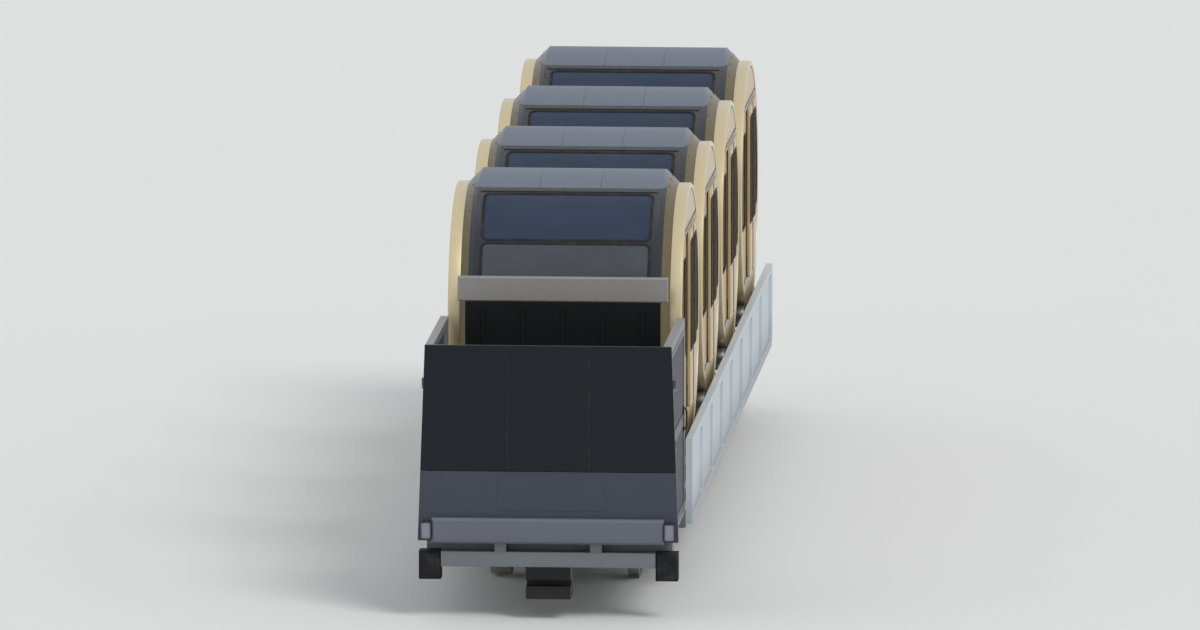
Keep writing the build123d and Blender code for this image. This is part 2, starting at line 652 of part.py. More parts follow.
def headboard_beam():
    """The light beam along the top of the headboard, as wide as the drum's bevels."""
    beam = block(-EDGE_X, EDGE_X, BOX_REAR_Y, BOX_REAR_Y + HEADBOARD_BAND_DEPTH,
                 HEADBOARD_HIGH_Z - HEADBOARD_BAND, HEADBOARD_HIGH_Z)
    return fillet(beam.edges().filter_by(Axis.X), HEADBOARD_WALL / 2)


def corner_buffers():
    """Black blocks at the ends of the front beam and round buffers on the rear one."""
    z1 = FRAME_LOW_Z + BEAM_HEIGHT
    front = block(END_BEAM_HALF, END_BEAM_HALF + BUFFER_WIDTH, BOX_FRONT_Y,
                  BOX_FRONT_Y + BUFFER_DEPTH, z1 - BUFFER_HEIGHT, z1)
    front = chamfer(front.faces().sort_by(Axis.Y)[0].edges(), BUMPER_CHAMFER)
    at = Pos(REAR_BUFFER_X, FRAME_REAR_Y + REAR_BUFFER_LENGTH / 2, z1 - BEAM_HEIGHT / 2)
    rear = at * Rot(90, 0, 0) * Cylinder(REAR_BUFFER_RADIUS, REAR_BUFFER_LENGTH)
    rear = fillet(rear.faces().sort_by(Axis.Y)[-1].edges(), BUMPER_CHAMFER)
    return both_sides(front) + both_sides(rear)


def front_block():
    """The black block under the middle of the front beam, with a jaw for a towing pin."""
    z0, z1 = FRAME_LOW_Z - BLOCK_HEIGHT, FRAME_LOW_Z
    y0 = BOX_FRONT_Y
    body = block(-BLOCK_WIDTH / 2, BLOCK_WIDTH / 2, y0, y0 + BLOCK_DEPTH, z0, z1)
    middle = (z0 + z1) / 2
    body -= block(-BLOCK_WIDTH, BLOCK_WIDTH, y0 - 1, y0 + TOW_SLOT_DEPTH,
                  middle - TOW_SLOT / 2, middle + TOW_SLOT / 2)
    body -= upright(TOW_BORE, 0, y0 + TOW_SLOT_DEPTH / 2, z0 - 1, z1 + 1)
    return body


def rope_anchor():
    """The clevis at the uphill end that the haul rope's socket is pinned in."""
    z0 = FRAME_LOW_Z + (BEAM_HEIGHT - ANCHOR_HEIGHT) / 2
    z1 = z0 + ANCHOR_HEIGHT
    pin_y = FRAME_REAR_Y + ANCHOR_REACH - ANCHOR_HEIGHT / 2
    x0, x1 = ANCHOR_GAP / 2, ANCHOR_GAP / 2 + ANCHOR_EAR
    ear = block(x0, x1, FRAME_REAR_Y, pin_y, z0, z1)
    ear += rod(ANCHOR_HEIGHT / 2, x0, x1, pin_y, (z0 + z1) / 2)
    ear -= rod(ANCHOR_BORE, 0, 2 * x1, pin_y, (z0 + z1) / 2)
    clevis = block(-x1, x1, FRAME_REAR_Y, FRAME_REAR_Y + ANCHOR_BASE, z0, z1)
    for piece in both_sides(ear):
        clevis += piece
    return clevis


def placed(solids, where):
    """A solid or a list of solids, moved to a place, as a list."""
    solids = solids if isinstance(solids, list) else [solids]
    return [where * s for s in solids]


def drum_pieces():
    """The pieces of one drum with its axis at the origin, by the ends of their names."""
    return {"shell": drum_shell(), "rims": both_sides(drum_rim()),
            "discs": both_sides(drum_disc()), "glazing": drum_glazing(),
            "cabin": drum_cabin()}


def door_pieces():
    """The four leaves of one drum with its axis at the origin, by the ends of their names."""
    up = {"right": door_leaf(), "left": [both_sides(s)[1] for s in door_leaf()]}
    leaves = {}
    for side, leaf in up.items():
        leaves[f"{side}_up"] = leaf
        leaves[f"{side}_down"] = [both_ends(s)[1] for s in leaf]
    return leaves


def all_nodes():
    """Every piece of the car by its name."""
    nodes = {}
    drum, doors = drum_pieces(), door_pieces()
    for i, y in enumerate(DRUM_Y, start=1):
        at = Pos(0, y, DRUM_AXIS_Z)
        for name, solids in drum.items():
            nodes[f"drum_{i}_{name}"] = placed(solids, at)
        for name, solids in doors.items():
            nodes[f"door_{i}_{name}"] = placed(solids, at)
    for i, y in enumerate(BOGIE_Y, start=1):
        nodes[f"bogie_{i}_frame"] = [bogie_frame(y)]
        for j, side in enumerate((-1, 1), start=2 * i - 1):
            nodes[f"wheelset_{j}"] = [wheelset(y + side * BOGIE_BASE / 2)]
    nodes["girders"] = girders()
    nodes["cross_beams"] = cross_beams()
    nodes["side_beams"] = side_beams()
    nodes["support_rollers"] = support_rollers()
    nodes["roller_stands"] = roller_lugs()
    nodes["goods_deck"] = [goods_deck()]
    nodes["front_panel_upper"] = [front_upper()]
    nodes["front_panel_lower"] = [front_lower()]
    nodes["bumper"] = [bumper()]
    nodes["end_lamps"] = end_lamps()
    nodes["box_posts"] = box_frames()
    nodes["gate_right"], nodes["gate_left"] = ([g] for g in both_sides(side_gate()))
    nodes["headboard"] = [headboard()]
    nodes["headboard_beam"] = [headboard_beam()]
    nodes["corner_buffers"] = corner_buffers()
    nodes["front_block"] = [front_block()]
    nodes["rope_anchor"] = [rope_anchor()]
    return nodes


def main():
    os.makedirs("parts", exist_ok=True)
    nodes = all_nodes()
    for name, solids in nodes.items():
        shape = solids[0] if len(solids) == 1 else Compound(children=solids)
        export_step(shape, f"parts/{name}.step")
    print(len(nodes), "nodes; drum axes at y", DRUM_Y, "z", DRUM_AXIS_Z)
    print("goods box y", BOX_FRONT_Y, "to", BOX_REAR_Y, "frame rear y", FRAME_REAR_Y)


main()
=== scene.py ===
# %% [markdown]
# # A funicular car with drum-shaped cabins
#
# The car stands on a pale floor as it parks on level track: four drums in a row, each able to
# turn about its cross axis, and a goods box at the downhill end that faces the camera.
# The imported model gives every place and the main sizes. This script dresses it, piece by
# piece: it makes the finishes first, then the drums, the doors, the running gear and the box.

# %% Load the frame
import json
import math

import bmesh
import bpy
import numpy as np
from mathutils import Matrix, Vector
from mathutils.geometry import tessellate_polygon


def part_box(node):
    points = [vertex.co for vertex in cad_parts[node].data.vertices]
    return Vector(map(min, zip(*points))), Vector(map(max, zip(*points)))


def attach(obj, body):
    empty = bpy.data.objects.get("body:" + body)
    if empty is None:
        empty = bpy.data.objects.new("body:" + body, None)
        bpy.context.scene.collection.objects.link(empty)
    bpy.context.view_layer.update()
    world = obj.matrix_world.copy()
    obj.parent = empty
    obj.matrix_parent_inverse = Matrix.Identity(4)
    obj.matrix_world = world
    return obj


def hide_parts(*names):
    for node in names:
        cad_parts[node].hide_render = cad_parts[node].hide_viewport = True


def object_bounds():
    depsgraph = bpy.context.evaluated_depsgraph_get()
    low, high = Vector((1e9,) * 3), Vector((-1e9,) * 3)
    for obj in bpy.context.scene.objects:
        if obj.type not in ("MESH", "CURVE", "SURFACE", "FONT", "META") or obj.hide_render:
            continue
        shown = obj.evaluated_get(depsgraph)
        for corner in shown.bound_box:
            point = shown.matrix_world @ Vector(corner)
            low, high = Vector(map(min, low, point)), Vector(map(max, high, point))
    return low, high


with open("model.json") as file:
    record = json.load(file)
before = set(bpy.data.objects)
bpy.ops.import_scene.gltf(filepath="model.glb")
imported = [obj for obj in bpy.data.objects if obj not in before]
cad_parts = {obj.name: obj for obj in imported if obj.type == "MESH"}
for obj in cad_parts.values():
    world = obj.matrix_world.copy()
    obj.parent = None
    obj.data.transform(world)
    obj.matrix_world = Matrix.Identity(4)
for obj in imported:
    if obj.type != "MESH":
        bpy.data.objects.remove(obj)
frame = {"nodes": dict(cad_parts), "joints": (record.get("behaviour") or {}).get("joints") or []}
cad_low, cad_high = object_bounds()
print("the car measures", [round(b - a, 3) for a, b in zip(cad_low, cad_high)], "m")

# %% [markdown]
# ## Where things are
#
# The drum axes are the pivots of the levelling joints, so they're read from the frame and
# never typed again. So are the widths and radii that a node's box gives. The rest are sizes
# that no box gives by itself, in metres and degrees.


# %% Driving sizes
def reach(node, axis):
    """Half of a node's extent along an axis: its radius, or half its width."""
    low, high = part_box(node)
    return (high[axis] - low[axis]) / 2


JOINTS = {joint["name"]: joint for joint in frame["joints"]}
AXES = {i: JOINTS[f"level_{i}"]["pos_m"] for i in range(1, 5)}
AXIS_Z = AXES[1][2]
HALF_PITCH = (AXES[2][1] - AXES[1][1]) / 2

# Drums: half widths along X, radii about the axis, and the barrel's wall
BARREL_HALF = reach("drum_1_shell", 0)
HALF_WIDTH = reach("drum_1_rims", 0)
BEVEL_END = 1.183
DISC_X = (1.278, 1.308)
DRUM_RADIUS = reach("drum_1_shell", 1)
DISC_RADIUS = reach("drum_1_discs", 1)
RIM_RADIUS = 1.500
RIM_INNER = 1.440
SHELL_WALL = 0.050

# Windows: the lower and the upper pane in degrees above the axis, half a width, a corner
WINDOWS = [(-14.0, 36.8), (38.2, 63.0)]
WINDOW_HALF = 0.950
WINDOW_CORNER = 0.070

# Doors, from the axis: how a leaf laps over its doorway, is cut and travels, and the doorway
LEAF_LOW, LEAF_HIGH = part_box("door_1_right_up")
LEAF_LAP = 0.015
LEAF_CUT = 1.488
LEAF_TRAVEL = 0.545
DOOR_HALF = 0.560
DOOR_LOW = -0.950
DOOR_HIGH = LEAF_HIGH.z - AXIS_Z - LEAF_LAP
print(len(AXES), "drums of radius", round(DRUM_RADIUS, 3), "the first at", AXES[1])

# %% [markdown]
# ## Meshes from arrays
#
# Every new piece is a sheet of points on a grid of two parameters, or a profile carried along
# a path. It could also be modelled from primitives by hand, but a formula keeps each curve
# exact and follows the frame's sizes. The points are worked out as whole arrays, and these
# helpers turn them into objects that ride on a body. A part is always a pair: points, faces.


# %% Parts as arrays
def grid_faces(rows, cols, wrap_rows=False, wrap_cols=False):
    """Quads over a grid of rows x cols points: each joins a point, its right neighbour, the
    one above that and the one above the first. Wrapping joins the last line to the first."""
    i = np.arange(rows if wrap_rows else rows - 1)[:, None]
    j = np.arange(cols if wrap_cols else cols - 1)[None, :]
    i2, j2 = (i + 1) % rows, (j + 1) % cols
    quads = np.stack([i * cols + j, i * cols + j2, i2 * cols + j2, i2 * cols + j], -1)
    return quads.reshape(-1, 4).tolist()


def as_points(points):
    """Points as an array of three columns."""
    return np.asarray(points, float).reshape(-1, 3)


def repeated(one, count, size):
    """The faces of one form for so many copies of it in a row, each of so many points."""
    return [[k + n * size for k in face] for n in range(count) for face in one]


def joined(parts):
    """One part from several, with the face numbers moved along."""
    points, faces, start = [], [], 0
    for p, f in parts:
        points.append(as_points(p))
        faces += [[k + start for k in face] for face in f]
        start += len(points[-1])
    return np.concatenate(points), faces


def mirrored(part, axis):
    """A part and its mirror image across the plane where that coordinate is 0."""
    signs = np.ones(3)
    signs[axis] = -1
    return joined([part, (as_points(part[0]) * signs, [face[::-1] for face in part[1]])])


def moved(part, shift):
    """A part moved by a vector."""
    return as_points(part[0]) + np.asarray(shift, float), part[1]


# %% Objects from parts
SHARP = math.radians(35)


def linked(name, data):
    """A new object in the scene."""
    thing = bpy.data.objects.new(name, data)
    bpy.context.scene.collection.objects.link(thing)
    return thing


def mark_sharp(work, limit):
    """Leaves an edge soft only where it joins two faces that turn by less than the limit."""
    for edge in work.edges:
        edge.smooth = len(edge.link_faces) == 2 and edge.calc_face_angle(0.0) < limit


def finish_mesh(mesh, merge, closed):
    """Merges points that lie that close, turns a closed mesh whose volume is negative, and
    marks the sharp edges."""
    work = bmesh.new()
    work.from_mesh(mesh)
    if merge:
        bmesh.ops.remove_doubles(work, verts=work.verts, dist=merge)
    if closed and work.calc_volume(signed=True) < 0:
        bmesh.ops.reverse_faces(work, faces=work.faces)
    mark_sharp(work, SHARP)
    work.to_mesh(mesh)
    work.free()


def round_edges(piece, width):
    """A live bevel on the edges that turn by more than 40 degrees, so that they catch light."""
    edges = piece.modifiers.new("edges", "BEVEL")
    edges.width, edges.segments, edges.limit_method = width, 2, "ANGLE"
    edges.angle_limit = math.radians(40)
    edges.harden_normals = True


def make(name, body, finish, part, shift=(0, 0, 0), merge=0.0, wall=0.0, bevel=0.0, about=None):
    """Builds a piece that rides on a body. merge joins points that lie that close, wall
    thickens a sheet inwards, bevel rounds the edges, and about is a centre in (y, z) from
    which each point's radius is kept for a turned finish."""
    points = as_points(part[0]) + np.asarray(shift, float)
    mesh = bpy.data.meshes.new(name)
    mesh.from_pydata(points.tolist(), [], part[1])
    if about is not None:
        away = np.hypot(points[:, 1] - about[0], points[:, 2] - about[1])
        layer = mesh.attributes.new("radius", "FLOAT", "POINT")
        layer.data.foreach_set("value", away.astype(np.float32))
    mesh.materials.append(finish)
    mesh.polygons.foreach_set("use_smooth", np.ones(len(mesh.polygons), bool))
    finish_mesh(mesh, merge, not wall)
    piece = linked(name, mesh)
    if wall:
        sheet = piece.modifiers.new("wall", "SOLIDIFY")
        sheet.thickness, sheet.offset, sheet.use_even_offset = wall, -1.0, True
    if bevel:
        round_edges(piece, bevel)
    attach(piece, body)
    return piece


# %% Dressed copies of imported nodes
# In a copy, points this close are one, faces this nearly flat are joined, and edges that turn
# by this much are sharp
COPY_MERGE, COPY_FLAT, COPY_SHARP = 2e-5, math.radians(0.5), 0.6


def clean_copy(node, finish, flatten):
    """A copy of a node's mesh in one finish, with its loose triangles merged. flatten joins
    those that lie in one plane, so that a live bevel can round the edges."""
    mesh = frame["nodes"][node].data.copy()
    mesh.materials.clear()
    mesh.materials.append(finish)
    work = bmesh.new()
    work.from_mesh(mesh)
    bmesh.ops.remove_doubles(work, verts=work.verts, dist=COPY_MERGE)
    if flatten:
        bmesh.ops.dissolve_limit(work, angle_limit=COPY_FLAT, verts=work.verts,
                                 edges=work.edges)
        mark_sharp(work, COPY_SHARP)
    for face in work.faces:
        face.smooth = True
        face.material_index = 0
    work.to_mesh(mesh)
    work.free()
    return mesh


def refined(node, body, finish, bevel):
    """Stands in for a CAD node with a copy of its mesh whose edges a live bevel rounds."""
    piece = linked(f"{node}_dressed", clean_copy(node, finish, True))
    round_edges(piece, bevel)
    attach(piece, body)
    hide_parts(node)
    return piece


print("objects from arrays: ready")

# %% [markdown]
# ## Outlines, plates, turned parts and bars
#
# Four kinds of form make up nearly the whole car. A plate is a filled outline with holes and a
# wall round each loop. A turned part is a profile carried round the X axis. A bar is a ring
# carried along a path. Bolt heads are a small ring repeated at a list of places.


# %% Outlines
def arc(centre, radius, start, end, count):
    """Points on an arc in a plane: centre + radius (cos t, sin t), t in radians."""
    t = np.linspace(start, end, count)
    return np.stack([centre[0] + radius * np.cos(t), centre[1] + radius * np.sin(t)], 1)


def rounded(corners, radius, count=6):
    """A closed outline through corners given anticlockwise, each replaced by an arc that
    touches both its edges: the arc's centre lies radius / sin(half angle) up the bisector."""
    corners = np.asarray(corners, float)
    radii = np.broadcast_to(radius, len(corners))
    out = []
    for k, corner in enumerate(corners):
        a, b = corners[k - 1] - corner, corners[(k + 1) % len(corners)] - corner
        a, b = a / np.linalg.norm(a), b / np.linalg.norm(b)
        half = math.acos(np.clip(a @ b, -1, 1)) / 2
        if radii[k] <= 0 or half > math.pi / 2 - 1e-3:
            out.append(corner[None])
            continue
        middle = (a + b) / np.linalg.norm(a + b)
        centre = corner + middle * radii[k] / math.sin(half)
        start = corner + a * radii[k] / math.tan(half) - centre
        end = corner + b * radii[k] / math.tan(half) - centre
        t0, t1 = math.atan2(start[1], start[0]), math.atan2(end[1], end[0])
        t1 += 2 * math.pi * round((t0 - t1) / (2 * math.pi))
        out.append(arc(centre, radii[k], t0, t1, count))
    return np.concatenate(out)


def rectangle(a0, a1, b0, b1, radius=0.0, count=6):
    """A rounded rectangle's outline, anticlockwise."""
    return rounded([(a0, b0), (a1, b0), (a1, b1), (a0, b1)], radius, count)


def flipped(outline):
    """An outline mirrored in its first coordinate, still anticlockwise."""
    return np.asarray(outline, float)[::-1] * [-1, 1]


def on_side(outline, x):
    """A (y, z) outline put on a plane x."""
    return np.column_stack([np.full(len(outline), x), outline])


def plate(outline, holes, depth0, depth1, axis="x"):
    """A flat plate between two depths, with holes: its two faces are the filled outline, and
    a wall of quads runs round every loop. axis names the direction through the plate."""
    loops = [np.asarray(loop, float) for loop in [outline, *holes]]
    flat = np.concatenate(loops)
    count = len(flat)
    points = np.concatenate([on_side(flat, depth) for depth in (depth0, depth1)])
    faces = []
    for tri in tessellate_polygon([[Vector((a, b, 0)) for a, b in loop] for loop in loops]):
        a, b, c = (flat[k] for k in tri)
        turn = (b[0] - a[0]) * (c[1] - a[1]) - (b[1] - a[1]) * (c[0] - a[0])
        tri = list(tri) if turn > 0 else list(tri)[::-1]
        faces += [[k + count for k in tri], tri[::-1]]
    start = 0
    for number, loop in enumerate(loops):
        after = np.roll(loop, -1, 0)
        area = np.sum(loop[:, 0] * after[:, 1] - loop[:, 1] * after[:, 0])
        k = np.arange(len(loop))
        a, b = start + k, start + (k + 1) % len(loop)
        wall = np.stack([a, b, b + count, a + count], 1)
        faces += (wall if (area > 0) == (number == 0) else wall[:, ::-1]).tolist()
        start += len(loop)
    order = {"x": [0, 1, 2], "y": [1, 0, 2], "z": [1, 2, 0]}[axis]
    if axis == "y":
        faces = [face[::-1] for face in faces]
    return points[:, order], faces


def frame_strip(loop, normal, width, height):
    """A flat-topped strip along a closed loop of 3-D points, such as a rubber seal: four lines
    of points, at each side of the loop and raised along the normals by the height."""
    loop = np.asarray(loop, float)
    normal = np.broadcast_to(np.asarray(normal, float), loop.shape)
    ahead = np.roll(loop, -1, 0) - np.roll(loop, 1, 0)
    ahead /= np.linalg.norm(ahead, axis=1)[:, None]
    side = np.cross(ahead, normal) * width / 2
    lines = [loop - side, loop - 0.7 * side + normal * height,
             loop + 0.7 * side + normal * height, loop + side]
    points = np.stack(lines, 1)
    return points.reshape(-1, 3), grid_faces(len(loop), 4, True, True)


# %% Turned parts and bars
def end_faces(sides, rings):
    """The two faces that close a tube of so many rings, each of so many points."""
    k = np.arange(sides)
    return [k[::-1].tolist(), (k + (rings - 1) * sides).tolist()]


def lathe(profile, steps=128, low=0.0, high=360.0):
    """Carries a closed (x, r) profile round the X axis: y = -r cos a, z = r sin a, where a is
    the angle above the downhill side. A part turn gets its two end faces."""
    profile = np.asarray(profile, float)
    full = high - low >= 360.0
    a = np.radians(np.linspace(low, high, steps + 1))[:steps if full else None]
    x = np.broadcast_to(profile[:, 0], (len(a), len(profile)))
    r = profile[:, 1]
    points = np.stack([x, -np.cos(a)[:, None] * r, np.sin(a)[:, None] * r], -1)
    faces = grid_faces(len(a), len(profile), full, True)
    if not full:
        faces += end_faces(len(profile), len(a))
    return points.reshape(-1, 3), faces


def turned_up(part, x, y, z):
    """A part turned about X, stood up so that its axis is along Z at (x, y), from z up."""
    points = as_points(part[0])
    return np.stack([points[:, 1] + x, points[:, 2] + y, points[:, 0] + z], 1), part[1]


def turned_along(part):
    """A part turned about X, laid along Y: x and y change places, and the faces turn."""
    return as_points(part[0])[:, [1, 0, 2]], [face[::-1] for face in part[1]]


def bar(path, radius, sides=12):
    """A round bar along a path: at each point a ring is set square to the path's direction,
    turned as little as possible from the ring before."""
    path = np.asarray(path, float)
    ahead = np.gradient(path, axis=0)
    ahead /= np.linalg.norm(ahead, axis=1)[:, None]
    start = np.cross(ahead[0], [0, 0, 1.0])
    if np.linalg.norm(start) < 0.3:
        start = np.cross(ahead[0], [1.0, 0, 0])
    rings = [start]
    for way in ahead:
        across = rings[-1] - way * (rings[-1] @ way)
        rings.append(across / np.linalg.norm(across))
    side = np.array(rings[1:])
    up = np.cross(ahead, side)
    t = np.linspace(0, 2 * math.pi, sides, endpoint=False)[:, None]
    points = path[:, None] + radius * (side[:, None] * np.cos(t) + up[:, None] * np.sin(t))
    faces = grid_faces(len(path), sides, False, True) + end_faces(sides, len(path))
    return points.reshape(-1, 3), faces


# %% Boxes and bolt heads
def boxes(rows):
    """Several boxes as one part, from rows of (x0, x1, y0, y1, z0, z1)."""
    rows = np.asarray(rows, float).reshape(-1, 6)
    bits = np.array([[(k >> 2) & 1, (k >> 1) & 1, k & 1] for k in range(8)])
    low, high = rows[:, 0::2], rows[:, 1::2]
    points = low[:, None] + bits[None] * (high - low)[:, None]
    one = [[0, 1, 3, 2], [4, 6, 7, 5], [0, 4, 5, 1], [2, 3, 7, 6], [0, 2, 6, 4], [1, 5, 7, 3]]
    return points.reshape(-1, 3), repeated(one, len(rows), 8)


def studs(places, axis, radius, height, sides=8):
    """Bolt heads as one part: at each place a short domed drum that stands along its axis."""
    places = as_points(places)
    axes = np.broadcast_to(np.asarray(axis, float), places.shape)
    a = np.cross(axes, [0.3, 0.5, 0.8])
    a /= np.linalg.norm(a, axis=1)[:, None]
    b = np.cross(axes, a)
    t = np.linspace(0, 2 * math.pi, sides, endpoint=False)[None, :, None]
    ring = np.cos(t) * a[:, None] + np.sin(t) * b[:, None]
    levels = [(radius, 0.0), (radius, 0.7 * height), (0.6 * radius, height)]
    points = np.stack([places[:, None] + ring * r + axes[:, None] * h for r, h in levels], 1)
    one = grid_faces(3, sides, False, True) + end_faces(sides, 3)
    return points.reshape(-1, 3), repeated(one, len(places), 3 * sides)


def circle_of(count, first, radius, x):
    """Places of so many bolts round the X axis, the first at an angle in degrees."""
    a = np.radians(first + np.arange(count) * 360 / count)
    return np.stack([np.full(count, x), -radius * np.cos(a), radius * np.sin(a)], 1)


print("plates, turned parts, bars and studs: ready")

# %% [markdown]
# ## Shader maths as Python
#
# A material here is a pattern worked out at each point of a piece. Nodes could be wired one
# by one, but then a formula is hard to read. So one small class wraps a node's output, and
# Python's own + - * and abs build Math nodes. Everything that isn't arithmetic comes from one
# method that takes the node's type, its settings and its inputs.


# %% A value that flows through a material
class Flow:
    """A value at each point of a surface. Arithmetic on it adds Math nodes."""

    def __init__(self, finish, socket):
        self.finish, self.socket = finish, socket

    def math(self, operation, *values):
        """A Math node's result for one or two values."""
        return self.finish.node("Math", {"operation": operation}, values)

    def __add__(self, other):
        return self.math("ADD", self, other)

    def __mul__(self, other):
        return self.math("MULTIPLY", self, other)

    def __sub__(self, other):
        return self.math("SUBTRACT", self, other)

    def __rsub__(self, other):
        return self.math("SUBTRACT", other, self)

    def __abs__(self):
        return self.math("ABSOLUTE", self)

    def sine(self):
        """The value's sine, for evenly spaced lines."""
        return self.math("SINE", self)

    def above(self, edge, soft):
        """0 below an edge and 1 above it, over a soft step."""
        ramp = {"interpolation_type": "SMOOTHSTEP"}
        return self.finish.node("MapRange", ramp, {"Value": self, "From Min": edge - soft / 2,
                                                   "From Max": edge + soft / 2})

    def below(self, edge, soft):
        """1 below an edge and 0 above it."""
        return 1 - self.above(edge, soft)

    def between(self, low, high, soft):
        """1 between two edges and 0 outside them."""
        return self.above(low, soft) * self.below(high, soft)

    def spread(self, low, high):
        """The value's range 0 to 1 drawn out to run from low to high."""
        return self * (high - low) + low


# %% A finish: one material and its nodes
class Finish:
    """A material under a maker's name. Constants go on the shader's own sockets."""

    def __init__(self, name, **constants):
        self.material = bpy.data.materials.new(name)
        self.material.use_nodes = True
        self.tree = self.material.node_tree
        self.shader = next(n for n in self.tree.nodes if n.type == "BSDF_PRINCIPLED")
        for key, value in constants.items():
            self.input(key).default_value = value
        self.place = self.node("TexCoord", {}, {}, "Object")
        apart = self.node("SeparateXYZ", {}, [self.place], None)
        self.x, self.y, self.z = (Flow(self, apart.outputs[k]) for k in range(3))
        facing = self.node("TexCoord", {}, {}, "Normal")
        self.upward = self.node("SeparateXYZ", {}, [facing], "Z")

    def input(self, key):
        """The shader's socket for a name in small letters, such as base_color."""
        return self.shader.inputs[key.replace("_", " ").title().replace("Ior", "IOR")]

    def node(self, kind, settings, inputs, output=0):
        """Adds a node of a type: settings first, then the sockets' values or links."""
        node = self.tree.nodes.new("ShaderNode" + ("Tex" if kind in PATTERNS else "") + kind)
        for key, value in settings.items():
            setattr(node, key, value)
        for key, value in inputs.items() if isinstance(inputs, dict) else enumerate(inputs):
            if isinstance(value, Flow):
                self.tree.links.new(value.socket, node.inputs[key])
            else:
                node.inputs[key].default_value = value
        return node if output is None else Flow(self, node.outputs[output])

    def mix(self, share, a, b):
        """Colour a where the share is 0 and colour b where it's 1."""
        a, b = (c if isinstance(c, Flow) else (*c, 1.0) for c in (a, b))
        return self.node("Mix", {"data_type": "RGBA"}, {0: share, 6: a, 7: b}, 2)

    def scaled(self, colour, share):
        """A colour made darker or lighter by a value at each point."""
        return self.node("VectorMath", {"operation": "SCALE"}, {0: colour, "Scale": share})

    def stretched(self, scale):
        """The place with each axis scaled, so that a noise is drawn out along the others."""
        return self.node("Mapping", {}, {"Vector": self.place, "Scale": scale})

    def noise(self, scale, detail=4.0, place=None):
        """A soft random value, 0 to 1, whose cells are about 1 / scale metres."""
        return self.node("Noise", {}, {"Vector": place or self.place, "Scale": scale,
                                       "Detail": detail, "Roughness": 0.55})

    def cells(self, scale):
        """A random value, 0 to 1, that is even inside each of many small cells."""
        spark = self.node("Voronoi", {}, {"Vector": self.place, "Scale": scale}, "Color")
        return self.node("SeparateXYZ", {}, [spark])

    def bump(self, height, strength=1.0):
        """A normal that leans as a surface with that height in metres would."""
        return self.node("Bump", {}, {"Strength": strength, "Distance": 1.0, "Height": height})

    def attribute(self, name):
        """A value that the piece's own points carry."""
        return self.node("Attribute", {"attribute_name": name}, {}, "Fac")

    def wear(self, **flows):
        """Links what changes over the surface to the shader, and returns the material."""
        for key, value in flows.items():
            self.tree.links.new(value.socket, self.input(key))
        return self.material


PATTERNS = {"Noise", "Voronoi"}


def tone(red, green, blue):
    """A colour written as 0 to 255 on a screen, as the linear light that a shader takes."""
    c = np.array([red, green, blue]) / 255
    return tuple(float(v) for v in np.where(c <= 0.04045, c / 12.92, ((c + 0.055) / 1.055) ** 2.4))


print("a mid grey of 128 is", round(tone(128, 128, 128)[0], 3), "as light")

# %% [markdown]
# ## Paints
#
# Nearly everything on the car is painted metal. A single flat colour looks like plastic, so
# each paint has slow changes of tone, the fine orange peel of a sprayed coat in its normal,
# dust that settles on faces that look up, rain streaks down the upright ones, and grime that
# climbs from the track. Gloss and dirt go together: a dusty place is also rougher.


# %% Sprayed paint
PEEL = 0.00006
DUST, GRIME = tone(168, 163, 152), tone(72, 66, 58)


def paint(name, colour, rough=0.4, dust=0.35, grime=(0.5, 1.3), coat=0.0, metallic=0.0,
          flake=0.0, specular=0.5):
    """Sprayed paint. colour is one colour, or a function that works it out from the place.
    dust is how much settles on faces that look up, grime the heights in metres between which
    the dirt of the track fades, and flake the strength of fine metal flakes in the colour."""
    finish = Finish(name, metallic=metallic, coat_weight=coat, coat_roughness=0.12,
                    specular_ior_level=specular)
    slow = finish.noise(1.7, 3.0)
    streak = finish.noise(3.0, place=finish.stretched((9.0, 9.0, 0.7)))
    fine = finish.noise(60.0)
    upward = finish.upward.above(0.75, 0.5)
    dirt = finish.z.below((grime[0] + grime[1]) / 2, grime[1] - grime[0])
    dirt = dirt * (fine * 0.5 + streak * 0.6)
    settled = upward * fine.above(0.5, 0.5) * dust
    shade = slow * 0.12 + streak * 0.10 + 0.89
    colour = colour(finish) if callable(colour) else colour
    if flake:
        shade = shade + (finish.cells(900.0) - 0.5) * flake
    colour = finish.scaled(colour, shade)
    colour = finish.mix(settled, colour, DUST)
    colour = finish.mix(dirt * 0.7, colour, GRIME)
    roughness = fine * 0.10 + streak * 0.08 + settled * 0.4 + dirt * 0.3 + (rough - 0.09)
    peeled = finish.bump(finish.noise(420.0, 1.0) * PEEL + fine * PEEL * 0.5)
    return finish.wear(base_color=colour, roughness=roughness, normal=peeled)


# %% Colours that change with the place
# The black surround's degrees above and below the panes, the roof joints' two edges, how far
# the barrel's paint laps over the bevel, and how deep the front end's cross beam lies
SURROUND_ABOVE, SURROUND_BELOW = 4.5, 1.5
ROOF_JOINT = (0.342, 0.348)
LAP = 0.055
FRONT_BEAM = 0.35


def height_at(degrees):
    """The height on the barrel at an angle above the axis."""
    return AXIS_Z + DRUM_RADIUS * math.sin(math.radians(degrees))


def skin_colour(finish):
    """The barrel: a pale roof of grey paint with a painted blue reflection of the sky on it above
    the windows, black round the panes, grey below them, with thin dark joints across the roof
    between its three sheets."""
    top = height_at(WINDOWS[1][1] + SURROUND_ABOVE)
    sill = height_at(WINDOWS[0][0] - SURROUND_BELOW)
    joint = abs(finish.x).between(*ROOF_JOINT, 0.002)
    # The roof's blue cast is a painted reflection of the sky on grey paint.
    roof = finish.mix(joint, tone(88, 101, 119), tone(44, 49, 56))
    body = finish.mix(finish.z.above(sill, 0.004), tone(96, 94, 88), tone(34, 40, 50))
    return finish.mix(finish.z.above(top, 0.004), body, roof)


def bevel_colour(finish):
    """The bevel: the barrel's paint laps over its inner edge; the rest is gold painted dark bronze
    as shade.
    """
    outer = abs(finish.x).above(BARREL_HALF + LAP, 0.002)
    # The bronze tone is the rims' gold darkened as painted shade.
    return finish.mix(outer, skin_colour(finish), tone(106, 95, 66))


